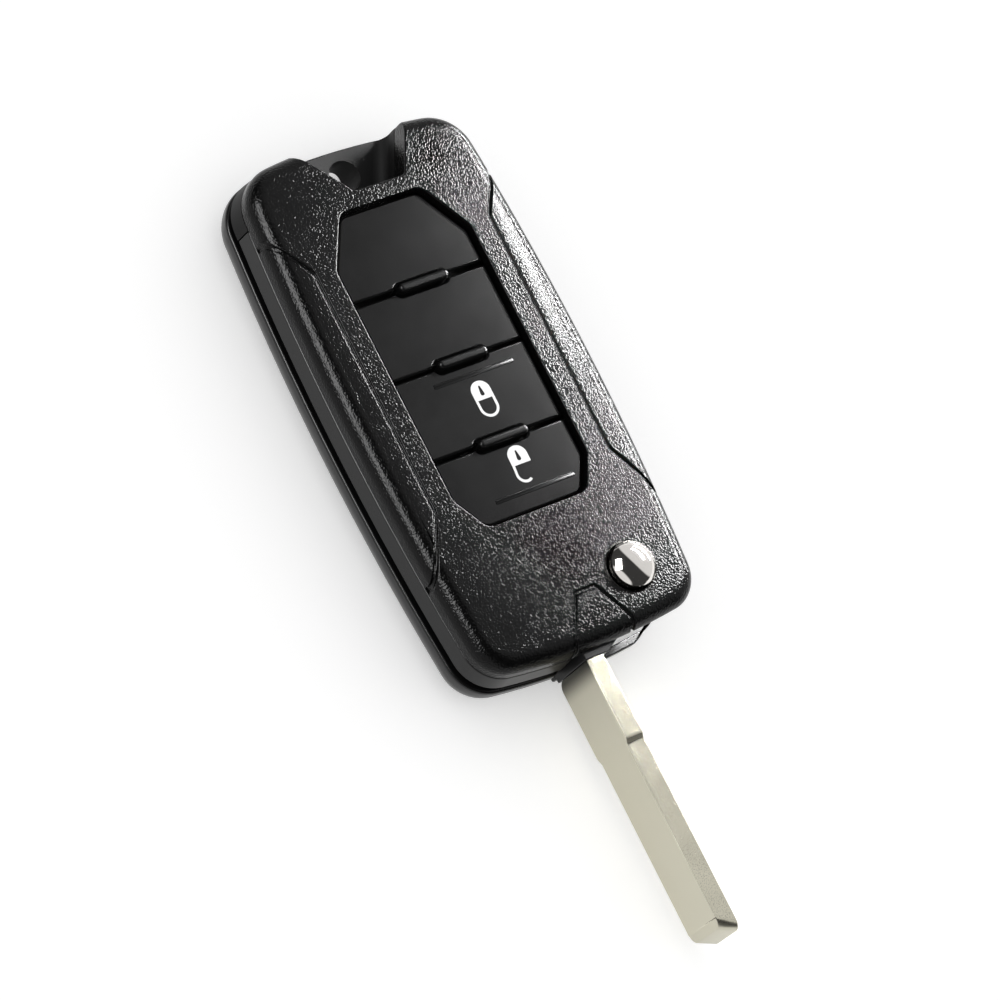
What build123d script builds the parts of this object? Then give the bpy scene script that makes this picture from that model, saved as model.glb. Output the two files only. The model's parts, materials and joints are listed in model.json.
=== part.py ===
"""Folding car key case, blade open: a moulded case in three layers, a pad of four fields and a
blade that turns out of the case's side on a sprung hub.

Millimetres. The case lies on its flat back at Z = 0 with its front up. Y runs from the blade to the
key ring, X across the case, and the origin is the centre of the case's back face.
"""
import math
import os

from build123d import *

# Case envelope
CASE_LENGTH = 71.0
CASE_WIDTH = 36.4
CASE_THICKNESS = 12.6
SIDE_BOW = 1.65
END_BOW = 1.4
RING_CORNER_RADIUS = 6.2
BLADE_CORNER_RADIUS = 5.4
FRONT_EDGE_RADIUS = 2.2
BACK_EDGE_RADIUS = 4.6
BACK_INNER_CHAMFER = 2.0
DRAFT_ANGLE = 7.0

# Layers from back to front, each given by the height of its upper edge
COVER_TOP = 5.4
COVER_EDGE_CHAMFER = 0.25
SHADOW_GAP = 1.2
PARTING_HEIGHT = 9.2
COVER_WALL = 1.2
REAR_WALL = 1.3
REAR_FLOOR = 1.2
FRONT_WALL = 1.5
FRONT_SKIN = 1.7
SEAT_PLAY = 0.1

# Ring end: a flared notch between two prongs, with a floor that the key ring hole goes through
NOTCH_DEPTH = 7.8
NOTCH_LEFT_X = -2.6
NOTCH_RIGHT_X = 4.9
NOTCH_LEFT_FLARE = 38.0
NOTCH_RIGHT_FLARE = 28.0
NOTCH_CORNER_RADIUS = 0.9
NOTCH_TIP_RADIUS = 1.6
NOTCH_FLOOR = 6.2
NOTCH_FLOOR_BLEND = 1.6
NOTCH_LIP_INSET = 0.5
RING_HOLE_X = 1.0
RING_HOLE_INSET = 3.8
RING_HOLE_RADIUS = 2.1
RING_HOLE_RELIEF = 1.0
RING_HOLE_CHAMFER = 0.4
INSERT_BAND_LENGTH = 7.5
INSERT_LENGTH = 9.5

# Pad opening and its four fields
PAD_WIDTH = 20.1
PAD_TOP_MARGIN = 2.1
PAD_BOTTOM_MARGIN = 10.6
PAD_TOP_CHAMFER_X = 4.1
PAD_TOP_CHAMFER_Y = 6.8
PAD_BOTTOM_CHAMFER_X = 2.7
PAD_BOTTOM_CHAMFER_Y = 4.6
PAD_CORNER_RADIUS = 1.8
PAD_DEPTH = 0.9
PAD_GAP = 0.3
DIVIDER_SHARE = (0.266, 0.515, 0.77)
DIVIDER_GAP = (0.6, 0.35, 0.45)
FIELD_EDGE_CHAMFER = 0.25
BAR_LENGTH = 7.2
BAR_WIDTH = 1.1
BAR_X = 0.4
BAR_RISE = 0.2
BAR_EDGE_RADIUS = 0.45
BAR_CLEARANCE = 0.28
CAP_THICKNESS = 1.1
CAP_FLANGE = 0.4
CAP_FLANGE_REACH = 0.55
KEY_TRAVEL = 0.5
KEY_FREE_GAP = 0.3
FRAME_THICKNESS = 0.5
FRAME_WALL_OFFSET = 0.85
FRAME_WALL = 0.7
FRAME_PLAY = 0.15
PLUNGER_RADIUS = 1.5
PLUNGER_CLEARANCE = 0.3
PLUNGER_LENGTH = 1.6
MEMBRANE_THICKNESS = 0.5
MEMBRANE_DOME_RADIUS = 2.7
MEMBRANE_DOME_TOP_RADIUS = 1.7
MEMBRANE_DOME_HEIGHT = 0.5
MEMBRANE_DOME_WALL = 0.35

# Decorative lines in the front face
LINE_WIDTH = 0.45
LINE_DEPTH = 0.3
ACCENT_SIDE_MARGIN = 5.2
ACCENT_TOP_MARGIN = 6.2
ACCENT_BOTTOM_MARGIN = 4.0
ACCENT_TOP_ANGLE = 57.0
ACCENT_BOTTOM_ANGLE = 63.0
ACCENT_TAIL = 12.0
ACCENT_BEND_RADIUS = 1.0
WEDGE_SHIFT = 1.65
WEDGE_LENGTH = 7.2
WEDGE_SKIRT_LENGTH = 2.0
WEDGE_TOP_WIDTH = 3.0
WEDGE_BOTTOM_WIDTH = 8.6
WEDGE_BEND_RADIUS = 0.3

# Blade and the hub that carries it
PIVOT_SIDE_MARGIN = 10.2
PIVOT_END_MARGIN = 7.8
BLADE_OFFSET = 8.95
BLADE_THICKNESS = 2.54
BLADE_WIDTH = 8.2
BLADE_BOTTOM = 2.1
BLADE_LENGTH = 36.6
BLADE_ROOT_LENGTH = 11.2
BLADE_SHOULDER_STEP = 0.45
BLADE_SHOULDER_RUN = 0.7
BLADE_TIP_CORNER_RADIUS = 1.4
BLADE_TIP_SLANT = 1.1
TANG_THICKNESS = 1.4
TANG_WIDTH = 5.6
TANG_LENGTH = 6.6
TANG_PLAY = 0.04
ARM_PROUD = 0.4
ARM_TOP_RISE = 3.0
ARM_CHEEK = 0.8
BARREL_RADIUS = 4.5
NECK_RADIUS = 3.8
NECK_HEIGHT = 1.1
RUNNING_CLEARANCE = 0.07
MOVING_GAP = 0.3
BLADE_PIN_RADIUS = 0.8
BLADE_PIN_WALL = 0.3
BLADE_PIN_DEPTH = 4.0
BLADE_PIN_LENGTH = 3.5
SLOT_TIP_CLEARANCE = 1.0
SLOT_MOUTH_RADIUS = 2.2
SLOT_WALL = 1.2

# Rim under the blade's root, with the opening behind it
SILL_HEIGHT = 1.2
SILL_INSET = 0.2
SILL_WIDTH = 1.05
SILL_LEFT_RUN = 0.5
SILL_RIGHT_RUN = 5.4
SILL_SWING_RADIUS = 7.45
WINDOW_WIDTH = 1.7
WINDOW_LEFT_RUN = 1.9
WINDOW_RIGHT_RUN = 5.2

# Release button, its spring and the seat that holds the spring
BUTTON_RADIUS = 2.93
BUTTON_RIM_RISE = 0.9
BUTTON_DOME_RISE = 1.5
BUTTON_SKIRT_BOTTOM = 8.0
BUTTON_ROOF_BOTTOM = 11.5
BUTTON_SKIRT_WALL = 0.55
BUTTON_TRAVEL = 1.6
BUTTON_HOLE_CHAMFER = 0.3
LUG_WIDTH = 1.4
LUG_REACH = 0.55
LUG_HEIGHT = 1.4
LUG_CLEARANCE = 0.1
HUB_LEDGE = 5.0
SEAT_FLANGE_RADIUS = 3.1
SEAT_BOSS_RADIUS = 2.5
SEAT_BOSS_TOP = 3.8
SPRING_WIRE = 0.45
SPRING_COIL_RADIUS = 2.0
SPRING_TURNS = 4.0

# Screws that close the case, their pillars, and the round battery opening
RING_SCREW_LEFT_MARGIN = 7.4
RING_SCREW_RIGHT_MARGIN = 6.5
RING_SCREW_END_MARGIN = 5.7
HUB_SCREW_SIDE_MARGIN = 8.6
HUB_SCREW_END_MARGIN = 7.9
PIVOT_SCREW_LEFT = 4.6
PIVOT_SCREW_UP = 6.7
SCREW_SHANK_RADIUS = 0.72
SCREW_HEAD_RADIUS = 1.25
SCREW_HEAD_HEIGHT = 0.9
SCREW_HEAD_SEAT = 5.2
SCREW_LENGTH = 5.6
SCREW_CLEARANCE = 0.05
SCREW_RECESS_LENGTH = 1.5
SCREW_RECESS_WIDTH = 0.35
SCREW_RECESS_DEPTH = 0.45
PILLAR_RADIUS = 2.1
CELL_OPENING_RADIUS = 10.2
CELL_RIM_WALL = 0.9
CELL_RIM_HEIGHT = 1.6
POCKET_END_WALL = 1.4
SERVICE_POCKET_WALL = 1.2
SERVICE_POCKET_SIDE_WALL = 1.7

# Places that follow from those above, from the ring end to the blade end
NOTCH_Y = CASE_LENGTH / 2 - NOTCH_DEPTH
RING_HOLE_Y = CASE_LENGTH / 2 - RING_HOLE_INSET
INSERT_SEAM_Y = CASE_LENGTH / 2 - INSERT_BAND_LENGTH
INSERT_INNER_Y = CASE_LENGTH / 2 - INSERT_LENGTH
PIVOT_X = CASE_WIDTH / 2 - PIVOT_SIDE_MARGIN
PIVOT_Y = PIVOT_END_MARGIN - CASE_LENGTH / 2
PAD_TOP_Y = NOTCH_Y - PAD_TOP_MARGIN
PAD_BOTTOM_Y = PIVOT_Y + PAD_BOTTOM_MARGIN
DIVIDER_Y = [PAD_TOP_Y - share * (PAD_TOP_Y - PAD_BOTTOM_Y) for share in DIVIDER_SHARE]
ACCENT_X = CASE_WIDTH / 2 - ACCENT_SIDE_MARGIN
ACCENT_TOP_Y = PAD_TOP_Y - ACCENT_TOP_MARGIN
ACCENT_BOTTOM_Y = PAD_BOTTOM_Y + ACCENT_BOTTOM_MARGIN
ARM_END_Y = -CASE_LENGTH / 2 - ARM_PROUD
BLADE_SHOULDER_Y = ARM_END_Y - BLADE_ROOT_LENGTH
BLADE_TIP_Y = ARM_END_Y - BLADE_LENGTH
WEDGE_TOP_Y = WEDGE_LENGTH - CASE_LENGTH / 2
WEDGE_BEND_Y = WEDGE_SKIRT_LENGTH - CASE_LENGTH / 2
SCREW_SPOTS = (
    (RING_SCREW_LEFT_MARGIN - CASE_WIDTH / 2, CASE_LENGTH / 2 - RING_SCREW_END_MARGIN),
    (CASE_WIDTH / 2 - RING_SCREW_RIGHT_MARGIN, CASE_LENGTH / 2 - RING_SCREW_END_MARGIN),
    (HUB_SCREW_SIDE_MARGIN - CASE_WIDTH / 2, HUB_SCREW_END_MARGIN - CASE_LENGTH / 2),
    (PIVOT_X - PIVOT_SCREW_LEFT, PIVOT_Y + PIVOT_SCREW_UP),
)

# Heights and clearances that follow from those above
SIDE_LEAN = math.tan(math.radians(DRAFT_ANGLE))
BAND_BOTTOM = COVER_TOP + SHADOW_GAP
TRAY_INSET = COVER_WALL + SEAT_PLAY
REAR_FLOOR_TOP = COVER_WALL + REAR_FLOOR
PAD_SURFACE = CASE_THICKNESS - PAD_DEPTH
SKIN_BOTTOM = CASE_THICKNESS - FRONT_SKIN
CAP_BOTTOM = PAD_SURFACE - CAP_THICKNESS
FLANGE_BOTTOM = CAP_BOTTOM - CAP_FLANGE
FRAME_TOP = FLANGE_BOTTOM - KEY_TRAVEL - KEY_FREE_GAP
FRAME_BOTTOM = FRAME_TOP - FRAME_THICKNESS
MEMBRANE_PEAK = FLANGE_BOTTOM - PLUNGER_LENGTH - KEY_TRAVEL - KEY_FREE_GAP
MEMBRANE_TOP = MEMBRANE_PEAK - MEMBRANE_DOME_HEIGHT
MEMBRANE_BOTTOM = MEMBRANE_TOP - MEMBRANE_THICKNESS
BLADE_TOP = BLADE_BOTTOM + BLADE_WIDTH
BLADE_MIDDLE = (BLADE_BOTTOM + BLADE_TOP) / 2
BLADE_X = PIVOT_X - BLADE_OFFSET
BLADE_REACH = PIVOT_Y - BLADE_TIP_Y
ARM_RADIUS = BLADE_OFFSET + BLADE_THICKNESS / 2
ARM_REACH = PIVOT_Y - ARM_END_Y
NECK_TOP = BLADE_TOP + NECK_HEIGHT
SLOT_BOTTOM = BLADE_BOTTOM - MOVING_GAP
SLOT_TOP = BLADE_TOP + MOVING_GAP
SLOT_INNER_X = PIVOT_X + BLADE_OFFSET - BLADE_THICKNESS / 2 - MOVING_GAP
SLOT_END_Y = PIVOT_Y + BLADE_REACH + SLOT_TIP_CLEARANCE
MOUTH_LEFT_X = PIVOT_X - ARM_RADIUS - MOVING_GAP
POCKET_RIGHT_X = SLOT_INNER_X - SLOT_WALL
POCKET_TOP_Y = INSERT_INNER_Y - POCKET_END_WALL
POCKET_BOTTOM_Y = PAD_BOTTOM_Y - FRAME_WALL_OFFSET - FRAME_WALL - FRAME_PLAY
CELL_OPENING_Y = (POCKET_TOP_Y + POCKET_BOTTOM_Y) / 2
SERVICE_POCKET_TOP_Y = POCKET_BOTTOM_Y - SERVICE_POCKET_WALL
SERVICE_POCKET_RIGHT_X = MOUTH_LEFT_X - SERVICE_POCKET_SIDE_WALL
SILL_LEFT_X = MOUTH_LEFT_X + SILL_LEFT_RUN
SILL_RIGHT_X = PIVOT_X + SILL_RIGHT_RUN
WINDOW_LEFT_X = MOUTH_LEFT_X + WINDOW_LEFT_RUN
WINDOW_RIGHT_X = PIVOT_X + WINDOW_RIGHT_RUN
WEDGE_X = BLADE_X + WEDGE_SHIFT
BORE_RADIUS = BUTTON_RADIUS + RUNNING_CLEARANCE
PILOT_DEPTH = SCREW_HEAD_SEAT + SCREW_LENGTH + 0.2
FAR = 60.0


def lean_at(height):
    """How far the drafted side has come in at a height above the back cover."""
    return (height - COVER_TOP) * SIDE_LEAN


def arc_radius(half_chord, bow):
    """Radius of an arc that rises by bow over a half chord."""
    return (half_chord**2 + bow**2) / (2 * bow)


def case_outline(inset=0.0):
    """The case seen from the front, drawn in by inset: four shallow arcs and round corners."""
    end = arc_radius(CASE_WIDTH / 2 - SIDE_BOW, END_BOW)
    side = arc_radius(CASE_LENGTH / 2 - END_BOW, SIDE_BOW)
    with BuildSketch() as outline:
        with Locations((0, CASE_LENGTH / 2 - end)):
            Circle(end - inset)
        with Locations((0, end - CASE_LENGTH / 2)):
            Circle(end - inset, mode=Mode.INTERSECT)
        with Locations((CASE_WIDTH / 2 - side, 0)):
            Circle(side - inset, mode=Mode.INTERSECT)
        with Locations((side - CASE_WIDTH / 2, 0)):
            Circle(side - inset, mode=Mode.INTERSECT)
        fillet(outline.vertices().sort_by(Axis.Y)[:2], BLADE_CORNER_RADIUS - inset)
        fillet(outline.vertices().sort_by(Axis.Y)[-2:], RING_CORNER_RADIUS - inset)
    return outline.sketch


def box_region(low_x, high_x, low_y, high_y):
    """A rectangle given by its limits."""
    with BuildSketch() as region:
        with Locations(((low_x + high_x) / 2, (low_y + high_y) / 2)):
            Rectangle(high_x - low_x, high_y - low_y)
    return region.sketch


def pad_outline(grow=0.0):
    """The opening of the pad: a tall octagon with soft corners."""
    half_width = PAD_WIDTH / 2
    right_side = (
        (half_width - PAD_TOP_CHAMFER_X, PAD_TOP_Y),
        (half_width, PAD_TOP_Y - PAD_TOP_CHAMFER_Y),
        (half_width, PAD_BOTTOM_Y + PAD_BOTTOM_CHAMFER_Y),
        (half_width - PAD_BOTTOM_CHAMFER_X, PAD_BOTTOM_Y),
    )
    left_side = [(-x, y) for x, y in reversed(right_side)]
    with BuildSketch() as outline:
        with BuildLine():
            Polyline(*right_side, *left_side, close=True)
        make_face()
        fillet(outline.vertices(), PAD_CORNER_RADIUS)
        if grow:
            offset(amount=grow)
    return outline.sketch


def frame_outline(inset=0.0):
    """The frame behind the pad, cut off straight at the end wall of the pocket."""
    with BuildSketch() as outline:
        add(pad_outline(FRAME_WALL_OFFSET + FRAME_WALL - inset))
        top = POCKET_TOP_Y - SEAT_PLAY - inset
        add(box_region(-FAR, FAR, -FAR, top), mode=Mode.INTERSECT)
    return outline.sketch


def bar_outline(divider_y, grow=0.0):
    """A capsule on a divider, grown all round where a field has to clear it."""
    with BuildSketch() as outline:
        with Locations((BAR_X, divider_y)):
            SlotOverall(BAR_LENGTH + 2 * grow, BAR_WIDTH + 2 * grow)
    return outline.sketch


def field_outline(first, last, grow=0.0):
    """The pad from one field to another, counted from the ring end, clear of the bars."""
    top = FAR if first == 0 else DIVIDER_Y[first - 1] - DIVIDER_GAP[first - 1] / 2
    bottom = -FAR if last == 3 else DIVIDER_Y[last] + DIVIDER_GAP[last] / 2
    with BuildSketch() as outline:
        add(pad_outline(grow - PAD_GAP))
        add(box_region(-FAR, FAR, bottom, top), mode=Mode.INTERSECT)
        for divider_y in DIVIDER_Y:
            add(bar_outline(divider_y, BAR_CLEARANCE), mode=Mode.SUBTRACT)
    return outline.sketch


def field_middle(index):
    """Where the plunger of a key stands, halfway between its dividers."""
    top = DIVIDER_Y[index - 1]
    bottom = PAD_BOTTOM_Y if index == 3 else DIVIDER_Y[index]
    return (0, (top + bottom) / 2)


def notch_outline():
    """The flared notch of the ring end, its mouth rolling out over the tips of both prongs."""
    left = math.tan(math.radians(NOTCH_LEFT_FLARE))
    right = math.tan(math.radians(NOTCH_RIGHT_FLARE))
    rise = CASE_LENGTH / 2 - END_BOW / 3 - NOTCH_Y
    with BuildSketch() as outline:
        with BuildLine():
            Polyline(
                (NOTCH_LEFT_X, NOTCH_Y),
                (NOTCH_RIGHT_X, NOTCH_Y),
                (NOTCH_RIGHT_X + right * rise, NOTCH_Y + rise),
                (FAR, NOTCH_Y + rise),
                (FAR, FAR),
                (-FAR, FAR),
                (-FAR, NOTCH_Y + rise),
                (NOTCH_LEFT_X - left * rise, NOTCH_Y + rise),
                close=True,
            )
        make_face()
        tips = [v for v in outline.vertices().group_by(Axis.Y)[1] if abs(v.X) < FAR / 2]
        fillet(tips, NOTCH_TIP_RADIUS)
        fillet(outline.vertices().group_by(Axis.Y)[0], NOTCH_CORNER_RADIUS)
        add(box_region(-FAR, FAR, NOTCH_Y + rise, FAR), mode=Mode.SUBTRACT)
        mouth = outline.edges().sort_by(Axis.Y)[-1]
        low_x = mouth.bounding_box().min.X
        high_x = mouth.bounding_box().max.X
        add(box_region(low_x, high_x, NOTCH_Y + rise, FAR))
    return outline.sketch


def insert_region(gap=0.0):
    """The ground of the ring end's own moulding: its band, and a core inside the tray's wall."""
    with BuildSketch() as region:
        add(case_outline(TRAY_INSET + REAR_WALL + gap))
        add(box_region(-FAR, FAR, INSERT_INNER_Y + gap, FAR), mode=Mode.INTERSECT)
        add(box_region(-FAR, FAR, INSERT_SEAM_Y + gap, FAR))
    return region.sketch


def sweep_outline():
    """Everything that the blade and its arm pass over between open and folded."""
    with BuildSketch() as outline:
        add(box_region(MOUTH_LEFT_X, PIVOT_X, -FAR, PIVOT_Y + ARM_TOP_RISE + MOVING_GAP))
        add(box_region(PIVOT_X, FAR, -FAR, PIVOT_Y + ARM_REACH + MOVING_GAP))
        add(box_region(SLOT_INNER_X, FAR, PIVOT_Y, SLOT_END_Y))
        with Locations((PIVOT_X, PIVOT_Y)):
            Circle(BARREL_RADIUS + MOVING_GAP)
    return outline.sketch


def mouth_flare():
    """What the rounded edge at the left of the blade's mouth leaves open."""
    middle_x = MOUTH_LEFT_X - SLOT_MOUTH_RADIUS
    middle_y = -CASE_LENGTH / 2 + SLOT_MOUTH_RADIUS
    with BuildSketch() as flare:
        add(box_region(middle_x, MOUTH_LEFT_X, -FAR, middle_y))
        with Locations((middle_x, middle_y)):
            Circle(SLOT_MOUTH_RADIUS, mode=Mode.SUBTRACT)
    return flare.sketch


def rim_strip(outer, inner, left, right):
    """A strip along the blade end between two insets of the outline and two limits in X."""
    with BuildSketch() as strip:
        add(case_outline(outer))
        add(case_outline(inner), mode=Mode.SUBTRACT)
        add(box_region(left, right, -FAR, PIVOT_Y), mode=Mode.INTERSECT)
    return strip.sketch


def sill_outline():
    """The sill's rim, rounded at the right about the pivot so that the blade clears it."""
    with BuildSketch() as outline:
        add(rim_strip(SILL_INSET, SILL_INSET + SILL_WIDTH, PIVOT_X, SILL_RIGHT_X))
        with Locations((PIVOT_X, PIVOT_Y)):
            Circle(SILL_SWING_RADIUS, mode=Mode.INTERSECT)
        add(rim_strip(SILL_INSET, SILL_INSET + SILL_WIDTH, SILL_LEFT_X, PIVOT_X))
    return outline.sketch


def window_outline():
    """The opening in the floor behind the sill."""
    outer = SILL_INSET + SILL_WIDTH
    return rim_strip(outer, outer + WINDOW_WIDTH, WINDOW_LEFT_X, WINDOW_RIGHT_X)


def decorative_lines():
    """The bent lines at both sides of the pad and the wedge over the blade's root."""
    top = math.radians(ACCENT_TOP_ANGLE)
    bottom = math.radians(ACCENT_BOTTOM_ANGLE)
    top_x = ACCENT_X + math.cos(top) * ACCENT_TAIL
    top_y = ACCENT_TOP_Y + math.sin(top) * ACCENT_TAIL
    bottom_x = ACCENT_X + math.cos(bottom) * ACCENT_TAIL
    bottom_y = ACCENT_BOTTOM_Y - math.sin(bottom) * ACCENT_TAIL
    with BuildSketch() as lines:
        for side in (-1, 1):
            with BuildLine():
                FilletPolyline(
                    (side * top_x, top_y),
                    (side * ACCENT_X, ACCENT_TOP_Y),
                    (side * ACCENT_X, ACCENT_BOTTOM_Y),
                    (side * bottom_x, bottom_y),
                    radius=ACCENT_BEND_RADIUS,
                )
            trace(line_width=LINE_WIDTH)
        with BuildLine():
            FilletPolyline(
                (WEDGE_X - WEDGE_BOTTOM_WIDTH / 2, -CASE_LENGTH / 2 - 1),
                (WEDGE_X - WEDGE_BOTTOM_WIDTH / 2, WEDGE_BEND_Y),
                (WEDGE_X - WEDGE_TOP_WIDTH / 2, WEDGE_TOP_Y),
                (WEDGE_X + WEDGE_TOP_WIDTH / 2, WEDGE_TOP_Y),
                (WEDGE_X + WEDGE_BOTTOM_WIDTH / 2, WEDGE_BEND_Y),
                (WEDGE_X + WEDGE_BOTTOM_WIDTH / 2, -CASE_LENGTH / 2 - 1),
                radius=WEDGE_BEND_RADIUS,
            )
        trace(line_width=LINE_WIDTH)
    return lines.sketch


def front_form(depth=0.0):
    """The outer form of the front shell, or the same form a little deeper."""
    with BuildPart() as form:
        with BuildSketch(Plane.XY.offset(PARTING_HEIGHT)):
            add(case_outline(lean_at(PARTING_HEIGHT) + depth))
        extrude(amount=CASE_THICKNESS - depth - PARTING_HEIGHT)
        fillet(form.faces().sort_by(Axis.Z)[-1].edges(), FRONT_EDGE_RADIUS - depth)
    return form.part


def rear_form():
    """The outer form of the rear shell and the ring end: a tray inside the cover, then the band."""
    with BuildPart() as form:
        with BuildSketch(Plane.XY.offset(COVER_WALL)):
            add(case_outline(TRAY_INSET))
        extrude(amount=BAND_BOTTOM - COVER_WALL)
        chamfer(form.faces().sort_by(Axis.Z)[0].edges(), BACK_INNER_CHAMFER)
        with BuildSketch(Plane.XY.offset(BAND_BOTTOM)):
            add(case_outline(lean_at(BAND_BOTTOM)))
        with BuildSketch(Plane.XY.offset(PARTING_HEIGHT)):
            add(case_outline(lean_at(PARTING_HEIGHT)))
        loft(ruled=True)
    return form.part


os.makedirs("parts", exist_ok=True)

# Front shell: the skin with the pad opening, the button hole and the decorative lines
with BuildPart() as line_cutter:
    with BuildSketch(Plane.XY.offset(PARTING_HEIGHT)):
        add(decorative_lines())
    extrude(amount=CASE_THICKNESS - PARTING_HEIGHT)
    add(front_form(LINE_DEPTH), mode=Mode.SUBTRACT)

with BuildPart() as front_shell:
    add(front_form())
    with BuildSketch(Plane.XY.offset(PARTING_HEIGHT)):
        add(notch_outline())
    extrude(amount=CASE_THICKNESS - PARTING_HEIGHT, mode=Mode.SUBTRACT)
    # The main hollow, closed on the right by the wall behind the folded blade
    with BuildSketch(Plane.XY.offset(PARTING_HEIGHT)):
        add(case_outline(lean_at(PARTING_HEIGHT) + FRONT_WALL))
        add(box_region(-FAR, POCKET_RIGHT_X, POCKET_BOTTOM_Y, PAD_TOP_Y), mode=Mode.INTERSECT)
    extrude(amount=SKIN_BOTTOM - PARTING_HEIGHT, mode=Mode.SUBTRACT)
    # A second hollow beside the hub, round the pillar of its screw
    with BuildSketch(Plane.XY.offset(PARTING_HEIGHT)):
        add(case_outline(lean_at(PARTING_HEIGHT) + FRONT_WALL))
        add(
            box_region(-FAR, SERVICE_POCKET_RIGHT_X, -FAR, SERVICE_POCKET_TOP_Y),
            mode=Mode.INTERSECT,
        )
        with Locations(SCREW_SPOTS[2]):
            Circle(PILLAR_RADIUS, mode=Mode.SUBTRACT)
    extrude(amount=SKIN_BOTTOM - PARTING_HEIGHT, mode=Mode.SUBTRACT)
    with BuildSketch(Plane.XY.offset(SKIN_BOTTOM)):
        add(pad_outline())
    extrude(amount=FRONT_SKIN, mode=Mode.SUBTRACT)
    # Room for the arm, the barrel and the folded blade
    with BuildSketch(Plane.XY.offset(PARTING_HEIGHT)):
        add(sweep_outline())
    extrude(amount=SLOT_TOP - PARTING_HEIGHT, mode=Mode.SUBTRACT)
    # Bearing of the hub's neck, then the hole of the release button
    with BuildSketch(Plane.XY.offset(SLOT_TOP)):
        with Locations((PIVOT_X, PIVOT_Y)):
            Circle(NECK_RADIUS + RUNNING_CLEARANCE)
    extrude(amount=NECK_TOP + RUNNING_CLEARANCE - SLOT_TOP, mode=Mode.SUBTRACT)
    with BuildSketch(Plane.XY.offset(SLOT_TOP)):
        with Locations((PIVOT_X, PIVOT_Y)):
            Circle(BORE_RADIUS)
    extrude(amount=CASE_THICKNESS - SLOT_TOP, mode=Mode.SUBTRACT)
    rim = front_shell.edges().filter_by(GeomType.CIRCLE).group_by(Axis.Z)[-1]
    chamfer([e for e in rim if abs(e.radius - BORE_RADIUS) < 0.01], BUTTON_HOLE_CHAMFER)
    add(line_cutter.part, mode=Mode.SUBTRACT)
    # Pilot holes of the case screws
    with BuildSketch(Plane.XY.offset(PARTING_HEIGHT)):
        with Locations(SCREW_SPOTS):
            Circle(SCREW_SHANK_RADIUS + SCREW_CLEARANCE)
    extrude(amount=PILOT_DEPTH - PARTING_HEIGHT, mode=Mode.SUBTRACT)
front_shell.part.label = "front_shell"
export_step(front_shell.part, "parts/front_shell.step")

# Rear shell: a tray that the cover wraps, with the visible band on top of it
with BuildPart() as rear_shell:
    add(rear_form())
    with BuildSketch(Plane.XY.offset(COVER_WALL)):
        add(insert_region())
    extrude(amount=PARTING_HEIGHT - COVER_WALL, mode=Mode.SUBTRACT)
    # The pocket behind the pad
    with BuildSketch(Plane.XY.offset(REAR_FLOOR_TOP)):
        add(case_outline(TRAY_INSET + REAR_WALL))
        add(box_region(-FAR, POCKET_RIGHT_X, POCKET_BOTTOM_Y, POCKET_TOP_Y), mode=Mode.INTERSECT)
    extrude(amount=PARTING_HEIGHT - REAR_FLOOR_TOP, mode=Mode.SUBTRACT)
    # The smaller pocket beside the hub, round the pillar of its screw
    with BuildSketch(Plane.XY.offset(REAR_FLOOR_TOP)):
        add(case_outline(TRAY_INSET + REAR_WALL))
        add(
            box_region(-FAR, SERVICE_POCKET_RIGHT_X, -FAR, SERVICE_POCKET_TOP_Y),
            mode=Mode.INTERSECT,
        )
        with Locations(SCREW_SPOTS[2]):
            Circle(PILLAR_RADIUS, mode=Mode.SUBTRACT)
    extrude(amount=PARTING_HEIGHT - REAR_FLOOR_TOP, mode=Mode.SUBTRACT)
    # The wall that carries the membrane, and the collar of the battery opening
    with BuildSketch(Plane.XY.offset(REAR_FLOOR_TOP)):
        add(frame_outline())
        add(frame_outline(FRAME_WALL), mode=Mode.SUBTRACT)
    extrude(amount=MEMBRANE_BOTTOM - REAR_FLOOR_TOP)
    with BuildSketch(Plane.XY.offset(REAR_FLOOR_TOP)):
        with Locations((0, CELL_OPENING_Y)):
            Circle(CELL_OPENING_RADIUS + CELL_RIM_WALL)
    extrude(amount=CELL_RIM_HEIGHT)
    with BuildSketch(Plane.XY.offset(COVER_WALL)):
        with Locations((0, CELL_OPENING_Y)):
            Circle(CELL_OPENING_RADIUS)
    extrude(amount=REAR_FLOOR + CELL_RIM_HEIGHT, mode=Mode.SUBTRACT)
    # Room for the arm, the barrel and the folded blade, and the rounded edge of its mouth
    with BuildSketch(Plane.XY.offset(SLOT_BOTTOM)):
        add(sweep_outline())
        add(mouth_flare())
    extrude(amount=PARTING_HEIGHT - SLOT_BOTTOM, mode=Mode.SUBTRACT)
    with BuildSketch(Plane.XY.offset(COVER_WALL)):
        with Locations((PIVOT_X, PIVOT_Y)):
            Circle(SEAT_FLANGE_RADIUS + SCREW_CLEARANCE)
        add(window_outline())
    extrude(amount=SLOT_BOTTOM - COVER_WALL, mode=Mode.SUBTRACT)
    # Screw holes with their heads sunk from the back
    with BuildSketch(Plane.XY.offset(COVER_WALL)):
        with Locations(*SCREW_SPOTS[2:]):
            Circle(SCREW_HEAD_RADIUS + SEAT_PLAY)
    extrude(amount=SCREW_HEAD_SEAT - COVER_WALL, mode=Mode.SUBTRACT)
    with BuildSketch(Plane.XY.offset(SCREW_HEAD_SEAT)):
        with Locations(*SCREW_SPOTS[2:]):
            Circle(SCREW_SHANK_RADIUS + SEAT_PLAY)
    extrude(amount=PARTING_HEIGHT - SCREW_HEAD_SEAT, mode=Mode.SUBTRACT)
rear_shell.part.label = "rear_shell"
export_step(rear_shell.part, "parts/rear_shell.step")

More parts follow.
